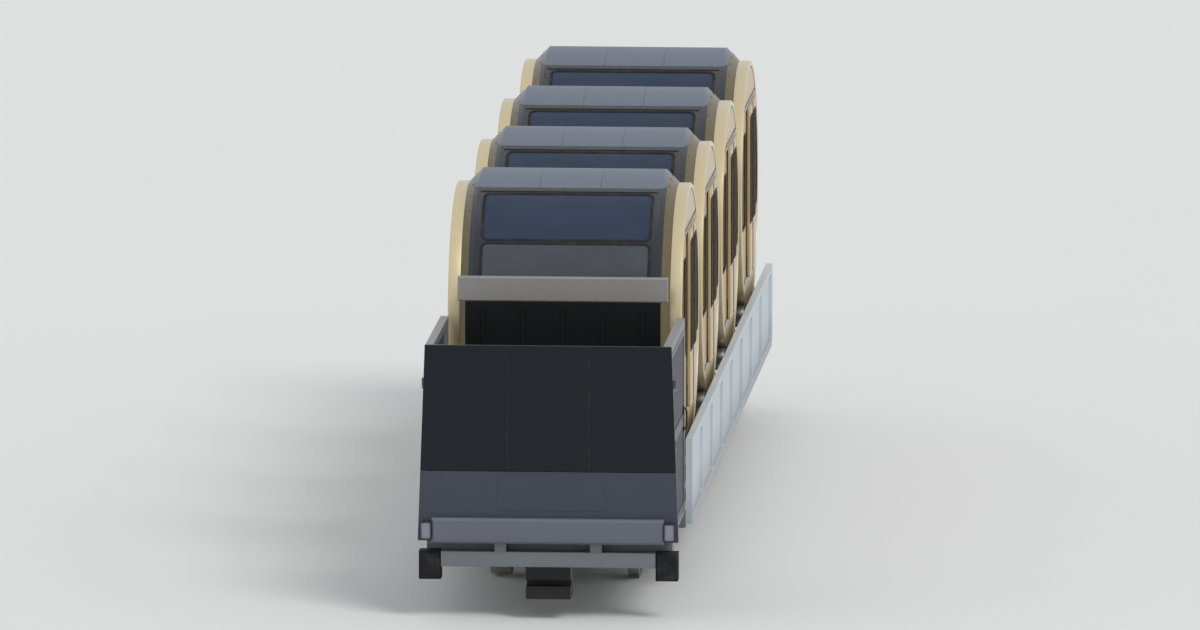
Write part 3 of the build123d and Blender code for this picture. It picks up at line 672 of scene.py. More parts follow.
def beam_colour(finish):
    """The cross beams: painted light makes the one across the front end paler and bluer,
    and those inside darker, as if in shade under the floor.
    """
    front = finish.y.below(cad_low.y + FRONT_BEAM, 0.02)
    # Painted light on the front cross beam, painted shade on those inside.
    return finish.mix(front, tone(104, 108, 110), tone(112, 118, 124))


# %% The paints
SKIN = paint("barrel_paint", skin_colour, 0.42, 0.25, specular=0.35)
GOLD = {"metallic": 0.45, "flake": 0.10}
GOLD_RIM = paint("gold_rim_paint", tone(212, 196, 156), 0.34, 0.15, coat=0.5, **GOLD)
GOLD_DISC = paint("gold_disc_paint", tone(196, 171, 126), 0.38, 0.15, coat=0.3, **GOLD)
# Painted shade: dark bronze for the bevels, their bolts and the disc plates.
SHADED_GOLD = paint("bronze_bevel_paint", bevel_colour, 0.40, 0.15, coat=0.3, metallic=0.45,
               flake=0.12)
# The side beams are pale grey paint with a painted bluish cast of shade.
BEAM = paint("side_beam_paint", tone(192, 200, 206), 0.45, 0.3, (0.6, 1.3))
FRAME = paint("underframe_paint", tone(116, 120, 122), 0.5, 0.4, (0.4, 1.2))
BOGIE = paint("bogie_paint", tone(62, 64, 66), 0.5, 0.5, (0.1, 0.9))
SLATE = paint("front_slate_paint", tone(58, 64, 77), 0.34, 0.1, (0.6, 1.1), specular=0.35)
BLACK_GLOSS = paint("front_black_paint", tone(18, 24, 30), 0.30, 0.1, specular=0.25)
BAND = paint("bumper_paint", tone(92, 98, 109), 0.42, 0.3, (0.6, 1.1))
CROSS = paint("cross_beam_paint", beam_colour, 0.5, 0.3, (0.4, 0.9))
POSTS = paint("box_post_paint", tone(128, 128, 130), 0.42, 0.25)
GATE = paint("gate_paint", tone(70, 72, 80), 0.38, 0.2)
# Near black: painted shade under the front drum, on the headboard and its ribs.
HEAD_DARK = paint("headboard_dark_paint", tone(20, 23, 23), 0.5, 0.1, specular=0.2)
HEAD_LIGHT = paint("headboard_beam_paint", tone(142, 139, 136), 0.45, 0.1)
BLACK = paint("black_paint", tone(16, 17, 19), 0.45, 0.06, (0.0, 0.5), specular=0.3)
LINING = paint("cabin_lining_paint", tone(196, 190, 178), 0.55, 0.0, (-3.0, -2.0))
TRIM = paint("dark_trim_paint", tone(48, 46, 44), 0.42, 0.1)
print("paints:", sum(m.name.endswith("paint") for m in bpy.data.materials))

# %% [markdown]
# ## Glass, rubber, steel and plastics
#
# The curved panes are tinted dark, and their colour carries a painted reflection: navy on the
# upper pane of each window, grey on the lower one. The panes in the discs are tinted bronze.
# One material tells them apart by where they are, and lets a little of the cabin show through.
# A ceramic border would be a print, but here the seals cover it. Steel is turned on the wheels,
# so its rings follow the distance from the axle, which the points carry. Rubber and moulded
# plastic get a fine grain.


# %% Tinted glass
CURVED_END = 1.2


def tinted_glass():
    """Painted reflections on a dark tint: navy above the split in the window, grey below it.
    Bronze tint in the discs and leaves, which are all further from the middle than the
    curved panes' end."""
    finish = Finish("tinted_glass", specular_ior_level=0.5, coat_weight=0.0)
    split = height_at((WINDOWS[0][1] + WINDOWS[1][0]) / 2)
    across = abs(finish.x)
    smear = finish.noise(2.2, place=finish.stretched((1.0, 1.0, 3.0)))
    # Navy over grey is a painted reflection on the panes' dark tint.
    curved = finish.mix(finish.z.above(split, 0.02), tone(70, 75, 82), tone(36, 52, 75))
    colour = finish.mix(across.above(CURVED_END, 0.02), curved, tone(66, 52, 32))
    colour = finish.scaled(colour, smear.spread(0.8, 1.2))
    finish.material.surface_render_method = "BLENDED"
    rough = smear * 0.08 + 0.03
    opaque = smear.spread(0.82, 0.92) - across.above(CURVED_END, 0.02) * 0.24
    return finish.wear(base_color=colour, roughness=rough, alpha=opaque)


# %% Rubber, turned steel, plain steel
def rubber(name, colour, bead=350.0):
    """Matt rubber with a fine grain and a dusty bloom."""
    finish = Finish(name, specular_ior_level=0.3)
    grain = finish.noise(bead, 2.0)
    bloom = finish.noise(7.0)
    shade = finish.mix(bloom.above(0.58, 0.3) * 0.2, finish.scaled(colour, grain.spread(0.8, 1.2)),
                       tone(96, 92, 86))
    return finish.wear(base_color=shade, roughness=bloom.spread(0.6, 0.85),
                       normal=finish.bump(grain * 0.0003))


POLISHED_FROM = 0.292


def turned_steel():
    """A wheel: polished where it runs on the rail, brown and dusty on its web, with turning
    rings that follow the radius its points carry."""
    finish = Finish("turned_steel")
    radius = finish.attribute("radius")
    cloud = finish.noise(14.0, 5.0)
    tread = radius.above(POLISHED_FROM, 0.006)
    rings = (radius * 2600.0).sine()
    dull = finish.mix(cloud.above(0.5, 0.35), tone(92, 86, 80), tone(108, 84, 64))
    colour = finish.mix(tread, dull, tone(176, 174, 170))
    return finish.wear(base_color=colour, metallic=tread.spread(0.35, 0.95),
                       roughness=(1 - tread) * 0.35 + cloud * 0.12 + 0.18,
                       normal=finish.bump(rings * 0.00006 + cloud * 0.0004))


def bare_steel(name, colour, rough, lengthwise):
    """Rolled or drawn steel with fine lines along one axis, and a film of brown dust."""
    finish = Finish(name, metallic=0.85)
    lines = finish.noise(24.0, place=finish.stretched(lengthwise))
    film = finish.noise(5.0).above(0.62, 0.3) * 0.4
    colour = finish.mix(film, finish.scaled(colour, lines.spread(0.8, 1.15)), tone(104, 92, 78))
    return finish.wear(base_color=colour, roughness=lines * 0.2 + film * 0.3 + (rough - 0.1),
                       normal=finish.bump(lines * 0.0002))


# %% Floor covering, moulded plastic, lamp lens, tread plate
def floor_covering():
    """Dark studded rubber sheet with pale chips in it, worn lighter in the middle."""
    finish = Finish("floor_covering")
    chips = finish.cells(140.0)
    worn = finish.noise(2.5)
    colour = finish.mix(chips.above(0.9, 0.04), tone(58, 59, 62), tone(140, 138, 134))
    colour = finish.scaled(colour, worn.spread(0.75, 1.3))
    return finish.wear(base_color=colour, roughness=worn.spread(0.55, 0.8),
                       normal=finish.bump(chips * 0.0004))


def moulded(name, colour, rough=0.45):
    """Moulded plastic: a leathery grain and small changes of gloss."""
    finish = Finish(name)
    grain = finish.node("Voronoi", {"feature": "SMOOTH_F1"},
                        {"Vector": finish.place, "Scale": 260.0}, "Distance")
    slow = finish.noise(4.0)
    return finish.wear(base_color=finish.scaled(colour, slow.spread(0.88, 1.1)),
                       roughness=slow * 0.15 + (rough - 0.07),
                       normal=finish.bump(grain * 0.0005, 0.6))


def lamp_lens():
    """A clear lens over a pale reflector: fine upright flutes in its bump that catch the light,
    with painted glints along them in its colour.
    """
    finish = Finish("lamp_lens", roughness=0.12, coat_weight=0.6, coat_roughness=0.05)
    flutes = (finish.x * 700.0).sine()
    patches = finish.noise(30.0, 2.0)
    # The lighter stripes along the flutes are painted glints.
    colour = finish.mix(flutes.spread(0.0, 0.6), tone(118, 118, 134), tone(160, 160, 176))
    return finish.wear(base_color=finish.scaled(colour, patches.spread(0.85, 1.1)),
                       normal=finish.bump(flutes * 0.001, 0.7))


def light_strip():
    """A lit diffuser in a cabin's ceiling, a little brighter in some places."""
    finish = Finish("light_strip", roughness=0.4, emission_strength=4.0)
    glow = finish.noise(3.0, 2.0).spread(0.85, 1.1)
    warm = finish.scaled((1.0, 0.94, 0.84), glow)
    return finish.wear(base_color=warm, emission_color=warm)


GLASS = tinted_glass()
SEAL = rubber("seal_rubber", tone(30, 30, 32))
BUFFER = rubber("buffer_rubber", tone(15, 16, 19), 160.0)
WHEEL = turned_steel()
STEEL = bare_steel("drawn_steel", tone(150, 148, 144), 0.34, (1.0, 12.0, 12.0))
POLE = bare_steel("pole_steel", tone(190, 189, 186), 0.24, (12.0, 12.0, 1.0))
TRACK = bare_steel("track_aluminium", tone(168, 168, 168), 0.36, (14.0, 1.0, 14.0))
DECK = bare_steel("deck_plate", tone(150, 151, 152), 0.42, (1.0, 6.0, 6.0))
FLOORING = floor_covering()
SEAT = moulded("seat_plastic", tone(96, 92, 86))
HOUSING = moulded("housing_plastic", tone(40, 41, 44), 0.5)
LENS = lamp_lens()
STRIP = light_strip()
print("finishes:", len(bpy.data.materials))

# %% [markdown]
# ## The drums
#
# A drum is a barrel on its side with a bevel and a broad gold rim at each end, and a flat
# gold disc set just inside each rim. The barrel could be built again from grids, but the
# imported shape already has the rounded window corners. So a copy of it is dressed: its normals
# are set from the formula of a cylinder, which hides the flats of its triangles. The rims are
# profiles turned about the drum's axis, which gives exact edges.


# %% A copy of a node with a cylinder's own normals
# By how much a curved face's radii may differ, and how far its normal may lean along the axis
SAME_RADIUS, SIDEWAYS = 4e-4, 0.02


def round_copy(node, body, finish, centre):
    """Stands in for a node of curved sheets. Where a face's points are all at one distance
    from the axis, each corner's normal points straight away from the axis, or straight at it
    on the inside; other faces stay flat."""
    mesh = clean_copy(node, finish, False)
    points = np.empty(3 * len(mesh.vertices))
    mesh.vertices.foreach_get("co", points)
    flat = np.empty(3 * len(mesh.polygons))
    mesh.polygons.foreach_get("normal", flat)
    starts, corner = np.empty(len(mesh.polygons), int), np.empty(len(mesh.loops), int)
    mesh.polygons.foreach_get("loop_start", starts)
    mesh.loops.foreach_get("vertex_index", corner)
    away = points.reshape(-1, 3) - [0, centre[1], centre[2]]
    away[:, 0] = 0
    radius = np.linalg.norm(away, axis=1)
    away /= np.maximum(radius, 1e-9)[:, None]
    owner = np.repeat(np.arange(len(starts)), np.diff(np.append(starts, len(corner))))
    flat = flat.reshape(-1, 3)
    spread = (np.maximum.reduceat(radius[corner], starts)
              - np.minimum.reduceat(radius[corner], starts))
    curved = (spread < SAME_RADIUS) & (np.abs(flat[:, 0]) < SIDEWAYS)
    side = np.sign(np.sum(away[corner] * flat[owner], axis=1))[:, None]
    normals = np.where(curved[owner][:, None], away[corner] * side, flat[owner])
    mesh.normals_split_custom_set(normals.tolist())
    piece = linked(f"{node}_dressed", mesh)
    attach(piece, body)
    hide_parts(node)
    return piece


# %% Round the barrel
# Seals: how far one is sunk into the skin, its width and its height
SEAL_SUNK, SEAL_WIDTH, SEAL_HEIGHT = 0.004, 0.038, 0.010

# Rails: half a length, how far one is sunk, its degrees off the window and its own, its height
RAIL_HALF, RAIL_SUNK = 1.0, 0.002
DRIP_ABOVE, DRIP_WIDE, DRIP_HEIGHT = 1.2, 0.45, 0.012
SILL_BELOW, SILL_WIDE, SILL_HEIGHT = 2.2, 0.60, 0.016

# Hoops round the belly: their places, half a width, the height, and the degrees they cover
HOOP_X, HOOP_HALF, HOOP_HEIGHT, HOOP_ARC = (-0.69, 0.0, 0.69), 0.02, 0.004, (197.0, 343.0)


def wrapped(loop, radius):
    """Bends a loop of (x, s) round the downhill side: s is the length of arc above the axis,
    so the angle is s / radius, y = -radius cos, z = radius sin. Gives points and normals."""
    loop = np.asarray(loop, float)
    a = loop[:, 1] / DRUM_RADIUS
    away = np.stack([np.zeros(len(a)), -np.cos(a), np.sin(a)], 1)
    points = away * radius
    points[:, 0] = loop[:, 0]
    return points, away


def divided(loop, longest=0.3, count=24):
    """A closed loop with each edge that is longer than that cut into so many equal lengths."""
    edges = zip(loop, np.roll(loop, -1, 0))
    return np.concatenate([np.linspace(a, b, count if np.linalg.norm(b - a) > longest else 1,
                                       endpoint=False) for a, b in edges])


def window_seals():
    """Flat rubber strips along the edges of the four curved windows."""
    parts = []
    for low, high in WINDOWS:
        s0, s1 = math.radians(low) * DRUM_RADIUS, math.radians(high) * DRUM_RADIUS
        loop = rectangle(-WINDOW_HALF, WINDOW_HALF, s0, s1, WINDOW_CORNER, 8)
        points, away = wrapped(divided(loop), DRUM_RADIUS - SEAL_SUNK)
        parts.append(frame_strip(points, away, SEAL_WIDTH, SEAL_HEIGHT))
    return mirrored(joined(parts), 1)


def arc_band(x0, x1, r0, r1, low, high, steps=40):
    """A curved slab between two widths, two radii and two angles."""
    return lathe([(x0, r0), (x1, r0), (x1, r1), (x0, r1)], steps, low, high)


def raised_band(x0, x1, height, low, high, steps=40):
    """A band on the barrel, sunk a little into its skin and raised by a height."""
    return arc_band(x0, x1, DRUM_RADIUS - RAIL_SUNK, DRUM_RADIUS + height, low, high, steps)


def rail_pair(low, wide, height):
    """A rail on the downhill side, so many degrees wide, and its image on the uphill side."""
    return [raised_band(-RAIL_HALF, RAIL_HALF, height, a, a + wide, 2)
            for a in (low, 180 - low - wide)]


def barrel_trim():
    """Drip rails over the windows, sill rails under them, and cover strips round the belly."""
    drips = rail_pair(WINDOWS[1][1] + DRIP_ABOVE, DRIP_WIDE, DRIP_HEIGHT)
    sills = rail_pair(WINDOWS[0][0] - SILL_BELOW, SILL_WIDE, SILL_HEIGHT)
    hoops = [raised_band(x - HOOP_HALF, x + HOOP_HALF, HOOP_HEIGHT, *HOOP_ARC) for x in HOOP_X]
    return joined(drips + sills + hoops)


# %% Rims, bevels and their bolts
# The cut on a rim's edge and the steps round it; a bevel's bolts and the first one's degrees
RIM_EDGE, RIM_STEPS = 0.012, 180
BOLTS, FIRST_BOLT = 36, 5

rim_profile = rounded([(BEVEL_END, RIM_INNER), (HALF_WIDTH, RIM_INNER),
                       (HALF_WIDTH, RIM_RADIUS - RIM_EDGE), (HALF_WIDTH - RIM_EDGE, RIM_RADIUS),
                       (BEVEL_END, RIM_RADIUS)], 0.004, 4)
bevel_profile = [(BARREL_HALF, DRUM_RADIUS - SHELL_WALL), (BEVEL_END, RIM_INNER),
                 (BEVEL_END, RIM_RADIUS), (BARREL_HALF, DRUM_RADIUS)]
stud_at = circle_of(BOLTS, FIRST_BOLT, (DRUM_RADIUS + RIM_RADIUS) / 2,
                    (BARREL_HALF + BEVEL_END) / 2)
stud_way = circle_of(BOLTS, FIRST_BOLT, 1.0, 1.0) / math.sqrt(2)
rims = mirrored(lathe(rim_profile, RIM_STEPS), 0)
bevels = mirrored(lathe(bevel_profile, RIM_STEPS), 0)
bevel_studs = mirrored(studs(stud_at, stud_way, 0.010, 0.006), 0)
print("rim profile of", len(rim_profile), "points, carried round", RIM_STEPS, "steps")

# %% [markdown]
# ## Discs
#
# Each disc closes the end of a drum: a plate with the doorway in the middle and a window to
# each side of it. On the real car it is clad in sheets with joints between them, so four thin
# sheets lie on it with gaps that show the plate, which is painted dark as shade in the joints.
# The outlines are arcs about the drum's axis and rounded rectangles, filled and given a wall.


# %% Outlines of the disc
def across_at(radius, height):
    """Half the chord of a circle at a height above its centre."""
    return math.sqrt(radius ** 2 - height ** 2)


def crescent(radius, y0, z0, z1, corner):
    """A piece of a disc: from y0 out to an arc about the centre, between two heights."""
    start = math.asin(z0 / radius)
    edge = arc((0, 0), radius, start, math.asin(z1 / radius), 24)
    outline = np.concatenate([[(y0, z0)], edge, [(y0, z1)]])
    radii = np.zeros(len(outline))
    radii[[0, 1, -2, -1]] = corner
    return rounded(outline, radii, 6)


def segment(radius, height, corner):
    """What a level line cuts off a disc, above the line."""
    half = across_at(radius, height)
    edge = arc((0, 0), radius, math.atan2(height, half), math.atan2(height, -half), 48)
    radii = np.zeros(len(edge))
    radii[[0, -1]] = corner
    return rounded(edge, radii, 5)


# Outer radius, first y, and lower and upper height, from the axis
SIDE_WINDOW = (RIM_INNER - 0.075, DOOR_HALF + 0.16, -0.33, 0.76)
SHEET_RADIUS = 1.424
SIDE_SHEET = (SHEET_RADIUS, 0.600, -0.945, 1.014)
TOP_SHEET, LOW_SHEET = 1.078, 1.008
SHEET_ROUND = 0.02
CLAD = (DISC_X[1], DISC_X[1] + 0.004)

doorway = rounded([(-DOOR_HALF, DOOR_LOW), (DOOR_HALF, DOOR_LOW), (DOOR_HALF, DOOR_HIGH),
                   (-DOOR_HALF, DOOR_HIGH)], [0.03, 0.03, 0.15, 0.15], 10)
side_window = crescent(*SIDE_WINDOW, 0.06)
whole = arc((0, 0), DISC_RADIUS, 0, 2 * math.pi, 193)[:-1]
disc = mirrored(plate(whole, [doorway, side_window, flipped(side_window)], *DISC_X), 0)
side_sheet = plate(crescent(*SIDE_SHEET, SHEET_ROUND), [side_window], *CLAD)
top_sheet = plate(segment(SHEET_RADIUS, TOP_SHEET, SHEET_ROUND), [], *CLAD)
low_sheet = plate(-segment(SHEET_RADIUS, LOW_SHEET, SHEET_ROUND), [], *CLAD)
sheets = mirrored(joined([mirrored(side_sheet, 1), top_sheet, low_sheet]), 0)
print("disc plate of", len(disc[0]), "points with a doorway", round(2 * DOOR_HALF, 2), "m wide")

# %% Seals, thresholds and door tracks
# Tracks: half a length, the height, and the gap left between a track and the leaves
TRACK_HALF, TRACK_HEIGHT, TRACK_GAP = 0.953, 0.045, 0.0003

# Thresholds: both edges, the ribs' number, first place, pitch and width
SILL_X = (1.279, 1.3075)
RIBS, FIRST_RIB, RIB_PITCH, RIB_WIDTH = 60, -0.54, 0.018, 0.009

window_ring = frame_strip(on_side(side_window, CLAD[1] - 0.001), (1, 0, 0), 0.032, 0.005)
door_ring = frame_strip(on_side(doorway, DISC_X[1] - 0.001), (1, 0, 0), 0.026, 0.010)
disc_seals = mirrored(joined([mirrored(window_ring, 1), door_ring]), 0)
track_z = (-0.998, LEAF_HIGH.z - AXIS_Z - 0.012)
tracks = mirrored(boxes([(DISC_X[1], LEAF_LOW.x - TRACK_GAP, -TRACK_HALF, TRACK_HALF,
                          z, z + TRACK_HEIGHT) for z in track_z]), 0)
sill_base = (*SILL_X, -0.545, 0.545, DOOR_LOW + 0.0002, DOOR_LOW + 0.002)
sill_ribs = [(*SILL_X, y, y + RIB_WIDTH, DOOR_LOW, DOOR_LOW + 0.004)
             for y in FIRST_RIB + RIB_PITCH * np.arange(RIBS)]
thresholds = mirrored(boxes([sill_base, *sill_ribs]), 0)
print("tracks at z", [round(z, 3) for z in track_z], "from the axis")

# %% [markdown]
# ## The cabin inside
#
# The glass lets some of the inside show, and the doors open, so the cabin is finished too: a
# floor with chips in it, moulded seats over a kick panel, steel poles in flanges, and a
# lined ceiling with two light strips. A seat is a sheet whose height dips in the middle.


# %% Floor, seats and their panels
def seat_pan(x0, x1, y0, y1, top, dip=0.014, roll=0.02, count=17):
    """A moulded seat: u and v run 0 to 1 across it and the height is the top less
    dip (1 - (2u - 1)^4) (1 - (2v - 1)^2), with the front edge rolled down by roll (1 - v)^6."""
    u, v = np.meshgrid(np.linspace(0, 1, count), np.linspace(0, 1, count))
    z = top - dip * (1 - (2 * u - 1) ** 4) * (1 - (2 * v - 1) ** 2) - roll * (1 - v) ** 6
    points = np.stack([x0 + (x1 - x0) * u, y0 + (y1 - y0) * v, z], -1)
    return points.reshape(-1, 3), grid_faces(count, count)


# Floor: one corner's points and the underside. Seats: their top, front and back, and half the
# width of a row. Under them: the panel's and the two rails' places and half widths.
FLOOR_CORNER, FLOOR_LOW = [(1.277, 1.04), (1.183, 1.04), (1.035, 1.25)], -0.989
SEAT_TOP, SEAT_Y, ROW_HALF, SEAT_GAP = -0.500, (1.100, 1.505), 0.905, 0.006
KICK_Y, KICK_HALF, KICK_HOLE_Z = (1.160, 1.190), 0.845, (-0.88, -0.64)
RAIL_Y, SEAT_RAIL_HALF, RAIL_Z = ((1.115, 1.150), (1.440, 1.475)), 0.900, (-0.548, -0.530)

floor_half = np.concatenate([FLOOR_CORNER, flipped(FLOOR_CORNER)])
floor_outline = np.roll(np.concatenate([floor_half, -floor_half]), 1, 0)
floor_plate = plate(floor_outline, [], FLOOR_LOW, DOOR_LOW - 0.0005, "z")
seat_x = np.linspace(-ROW_HALF, ROW_HALF, 5)
seats = mirrored(joined([seat_pan(a + SEAT_GAP, b - SEAT_GAP, *SEAT_Y, SEAT_TOP)
                         for a, b in zip(seat_x, seat_x[1:])]), 1)
hole_x = 0.93 * seat_x
kick_holes = [rectangle(a + 0.05, b - 0.05, *KICK_HOLE_Z, 0.04)
              for a, b in zip(hole_x, hole_x[1:])]
kick_edge = rectangle(-KICK_HALF, KICK_HALF, DOOR_LOW + 0.001, RAIL_Z[1], 0.01)
kick = plate(kick_edge, kick_holes, *KICK_Y, "y")
rails = boxes([(-SEAT_RAIL_HALF, SEAT_RAIL_HALF, *y, *RAIL_Z) for y in RAIL_Y])
seat_stand = mirrored(joined([kick, rails]), 1)
print("seats:", 2 * (len(seat_x) - 1))

# %% Poles, ceiling and lights
POLE_X, POLE_Y, HANDRAIL_Z = 0.47, 0.72, 0.955
POLE_TOP = across_at(DRUM_RADIUS - SHELL_WALL, POLE_Y) - 0.006
LINED = DRUM_RADIUS - SHELL_WALL - 0.002
LINING_HALF, STRIP_HALF = 1.03, 0.85

flange = [(0, 0.0), (0, 0.040), (0.006, 0.040), (0.014, 0.020), (0.03, 0.019), (0.03, 0.0)]
pole_parts = []
for x in (-POLE_X, POLE_X):
    pole_parts.append(bar([(x, POLE_Y, DOOR_LOW), (x, POLE_Y, POLE_TOP)], 0.017, 16))
    pole_parts.append(turned_up(lathe(flange, 20), x, POLE_Y, DOOR_LOW))
handrail = [(x, POLE_Y, HANDRAIL_Z) for x in (-POLE_X, -0.2, 0.2, POLE_X)]
poles = mirrored(joined([*pole_parts, bar(handrail, 0.015)]), 1)

# The lining's three arcs: thickness, degrees from and to, steps. It leaves the windows free.
LINED_ARCS = [(0.008, 65.0, 115.0, 30), (0.006, -37.0, -16.0, 14), (0.006, 196.0, 217.0, 14)]
ceiling = joined([arc_band(-LINING_HALF, LINING_HALF, LINED - thick, LINED, low, high, steps)
                  for thick, low, high, steps in LINED_ARCS])
strips = joined([arc_band(-STRIP_HALF, STRIP_HALF, LINED - 0.018, LINED - 0.007, a, a + 2.6, 4)
                 for a in (76.0, 101.4)])
for part in (poles, ceiling, strips):
    print("part of", len(part[1]), "faces")

# %% Put the drums together
for i, (x, y, z) in AXES.items():
    body, at = f"drum_{i}", (0, y, z)
    round_copy(f"drum_{i}_shell", body, SKIN, (x, y, z))
    round_copy(f"drum_{i}_glazing", body, GLASS, (x, y, z))
    dress = {
        "seals": (SEAL, window_seals(), "black_rubber", {}),
        "trim": (TRIM, barrel_trim(), "roof_paint", {"merge": 1e-5}),
        "rims_turned": (GOLD_RIM, rims, "gold_paint", {}),
        # Dark bronze on bevels and disc plates is painted shade: gold in shade, and shade in
        # joints.
        "bevels": (SHADED_GOLD, bevels, "gold_paint", {}),
        "bevel_bolts": (SHADED_GOLD, bevel_studs, "gold_paint", {}),
        "disc_plates": (SHADED_GOLD, disc, "gold_paint", {"bevel": 0.002}),
        "disc_sheets": (GOLD_DISC, sheets, "gold_paint", {"bevel": 0.0015}),
        "disc_seals": (SEAL, disc_seals, "black_rubber", {}),
        "door_tracks": (TRACK, tracks, "wheel_steel", {"bevel": 0.003}),
        "thresholds": (TRACK, thresholds, "wheel_steel", {}),
        "floor": (FLOORING, floor_plate, "cabin_grey", {"bevel": 0.002}),
        "seats": (SEAT, seats, "cabin_grey", {"wall": 0.016, "bevel": 0.003}),
        "seat_stands": (LINING, seat_stand, "cabin_grey", {"bevel": 0.002}),
        "poles": (POLE, poles, "wheel_steel", {"merge": 1e-5}),
        "lining": (LINING, ceiling, "cabin_grey", {}),
        "light_strips": (STRIP, strips, "lamp_lens", {}),
    }
    for name, (finish, part, slot, how) in dress.items():
        make(f"drum_{i}_{name}", body, finish, part, at, **how)
    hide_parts(f"drum_{i}_rims")
    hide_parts(f"drum_{i}_discs")
    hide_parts(f"drum_{i}_cabin")

# %% [markdown]
# ## Door leaves
#
# Two leaves a doorway slide apart along the disc, so each rides on its own body. A leaf is a
# plate with a window, a raised kick panel, a rubber edge where the two meet and a seal round
# the pane. One leaf is worked out for the right side's uphill leaf, and the others are its
# mirror images in x and y.


# %% One leaf in its parts
# From inside to outside: the leaf's two faces, and the outer one without its pressed panels
INSIDE, OUTSIDE = LEAF_LOW.x, LEAF_HIGH.x
SHEET = OUTSIDE - 0.004

# Edges from and to in y, then in z, and a corner's round
PANE = (0.085, 0.490, -0.345, DOOR_HIGH + LEAF_LAP - 0.130, 0.05)
KICK_PANEL = (0.085, 0.490, -0.900, -0.420, 0.03)
HEAD_PANEL = (0.085, 0.470, 0.945, 1.010, 0.015)


def leaf_outline():
    """The leaf: a rectangle whose outer upper corner is cut by the arc that it opens to."""
    y0, y1 = 0.003, DOOR_HALF + LEAF_LAP
    z0, z1 = DOOR_LOW - LEAF_LAP, DOOR_HIGH + LEAF_LAP
    high = across_at(LEAF_CUT, y1 + LEAF_TRAVEL)
    cut = arc((-LEAF_TRAVEL, 0), LEAF_CUT, math.asin(high / LEAF_CUT),
              math.asin(z1 / LEAF_CUT), 8)
    outline = np.concatenate([[(y0, z0), (y1, z0)], cut, [(y0, z1)]])
    return rounded(outline, [0.004, 0.02, *[0.0] * len(cut), 0.004], 4)


def pane_outline(gap=0.0):
    """The pane's rounded rectangle, drawn in by a gap."""
    y0, y1, z0, z1, corner = PANE
    return rectangle(y0 + gap, y1 - gap, z0 + gap, z1 - gap, corner - gap, 8)


leaf_plate = plate(leaf_outline(), [pane_outline()], INSIDE, SHEET)
kick_panel = plate(rectangle(*KICK_PANEL), [], SHEET, OUTSIDE)
head_panel = plate(rectangle(*HEAD_PANEL), [], SHEET, OUTSIDE - 0.001)
leaf_body = joined([leaf_plate, kick_panel, head_panel])
leaf_pane = plate(pane_outline(0.0003), [], INSIDE + 0.003, INSIDE + 0.017)
finger_strip = boxes([(OUTSIDE - 0.005, OUTSIDE - 0.001, 0.0035, 0.030, DOOR_LOW - 0.01,
                       DOOR_HIGH + 0.01)])
pane_seal = frame_strip(on_side(pane_outline(), OUTSIDE - 0.005), (1, 0, 0), 0.030, 0.005)
leaf_rubber = joined([finger_strip, pane_seal])


def turned_to(part, across, along=1):
    """A part's mirror image where across or along is -1: in x, in y, in both or in neither."""
    faces = part[1] if across * along > 0 else [face[::-1] for face in part[1]]
    return as_points(part[0]) * [across, along, 1], faces


for i, (x, y, z) in AXES.items():
    for side, across in (("right", 1), ("left", -1)):
        for end, along in (("up", 1), ("down", -1)):
            body, at = f"door_{i}_{side}_{end}", (0, y, z)
            leaf = make(f"{body}_leaf", body, GOLD_DISC, turned_to(leaf_body, across, along),
                        at, bevel=0.0015)
            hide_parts(body)
            pane = make(f"{body}_pane", body, GLASS, turned_to(leaf_pane, across, along), at)
            edge = make(f"{body}_rubber", body, SEAL, turned_to(leaf_rubber, across, along), at)
print("door leaves:", 4 * len(AXES))

# %% [markdown]
# ## Running gear
#
# Under the car the rims rest on rollers between pairs of lugs, and the wheels of one side have
# flanges while those of the other are wide and plain, so that points in the track can guide
# each car its own way. Wheels, rollers and caps are profiles turned about their own axes.


# %% Support rollers and their pins
EDGE_GAP, DISH = 0.008, 0.022
ROLLER, PIN = 0.130, 0.031
PIN_X = (1.150, 1.353)
roller_low, roller_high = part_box("support_rollers")
ROLLER_Z = (roller_low.z + roller_high.z) / 2
ROLLER_DY = (AXES[1][1] - roller_low.y) - ROLLER
roller_y = [AXES[i][1] + side * ROLLER_DY for i in AXES for side in (-1, 1)]
x0, x1 = BEVEL_END + EDGE_GAP, HALF_WIDTH - EDGE_GAP
tyre = rounded([(x0, PIN), (x1, PIN), (x1, 0.050), (x1 - DISH, 0.056), (x1 - DISH, 0.094),
                (x1, 0.100), (x1, ROLLER), (x0, ROLLER), (x0, 0.100), (x0 + DISH, 0.094),
                (x0 + DISH, 0.056), (x0, 0.050)], 0.004, 3)
roller = lathe(tyre, 48)
x0, x1 = PIN_X
pin = lathe([(x0, 0.0), (x1, 0.0), (x1, PIN - 0.005), (x1 - 0.004, PIN), (x0 + 0.004, PIN),
             (x0, PIN - 0.005)], 24)
rollers = joined([moved(mirrored(roller, 0), (0, y, ROLLER_Z)) for y in roller_y])
pins = joined([moved(mirrored(pin, 0), (0, y, ROLLER_Z)) for y in roller_y])
support = make("support_roller_tyres", "chassis", STEEL, rollers)
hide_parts("support_rollers")
make("support_roller_pins", "chassis", TRACK, pins, merge=1e-5)
print(2 * len(roller_y), "support rollers at height", round(ROLLER_Z, 3))

# %% Wheelsets
RAIL_X = 0.7525
TREAD, FLANGE_TOP = 0.300, 0.320

# Half widths of the tyre and the hub, of the flanged wheel and of the plain one
FLANGED, PLAIN = (0.069, 0.050), (0.120, 0.090)
HALF_AXLE = [(0.8725, 0.0), (0.8725, 0.052), (0.8645, 0.060), (0.62, 0.060), (0.60, 0.052),
             (0.50, 0.052), (0.48, 0.060)]


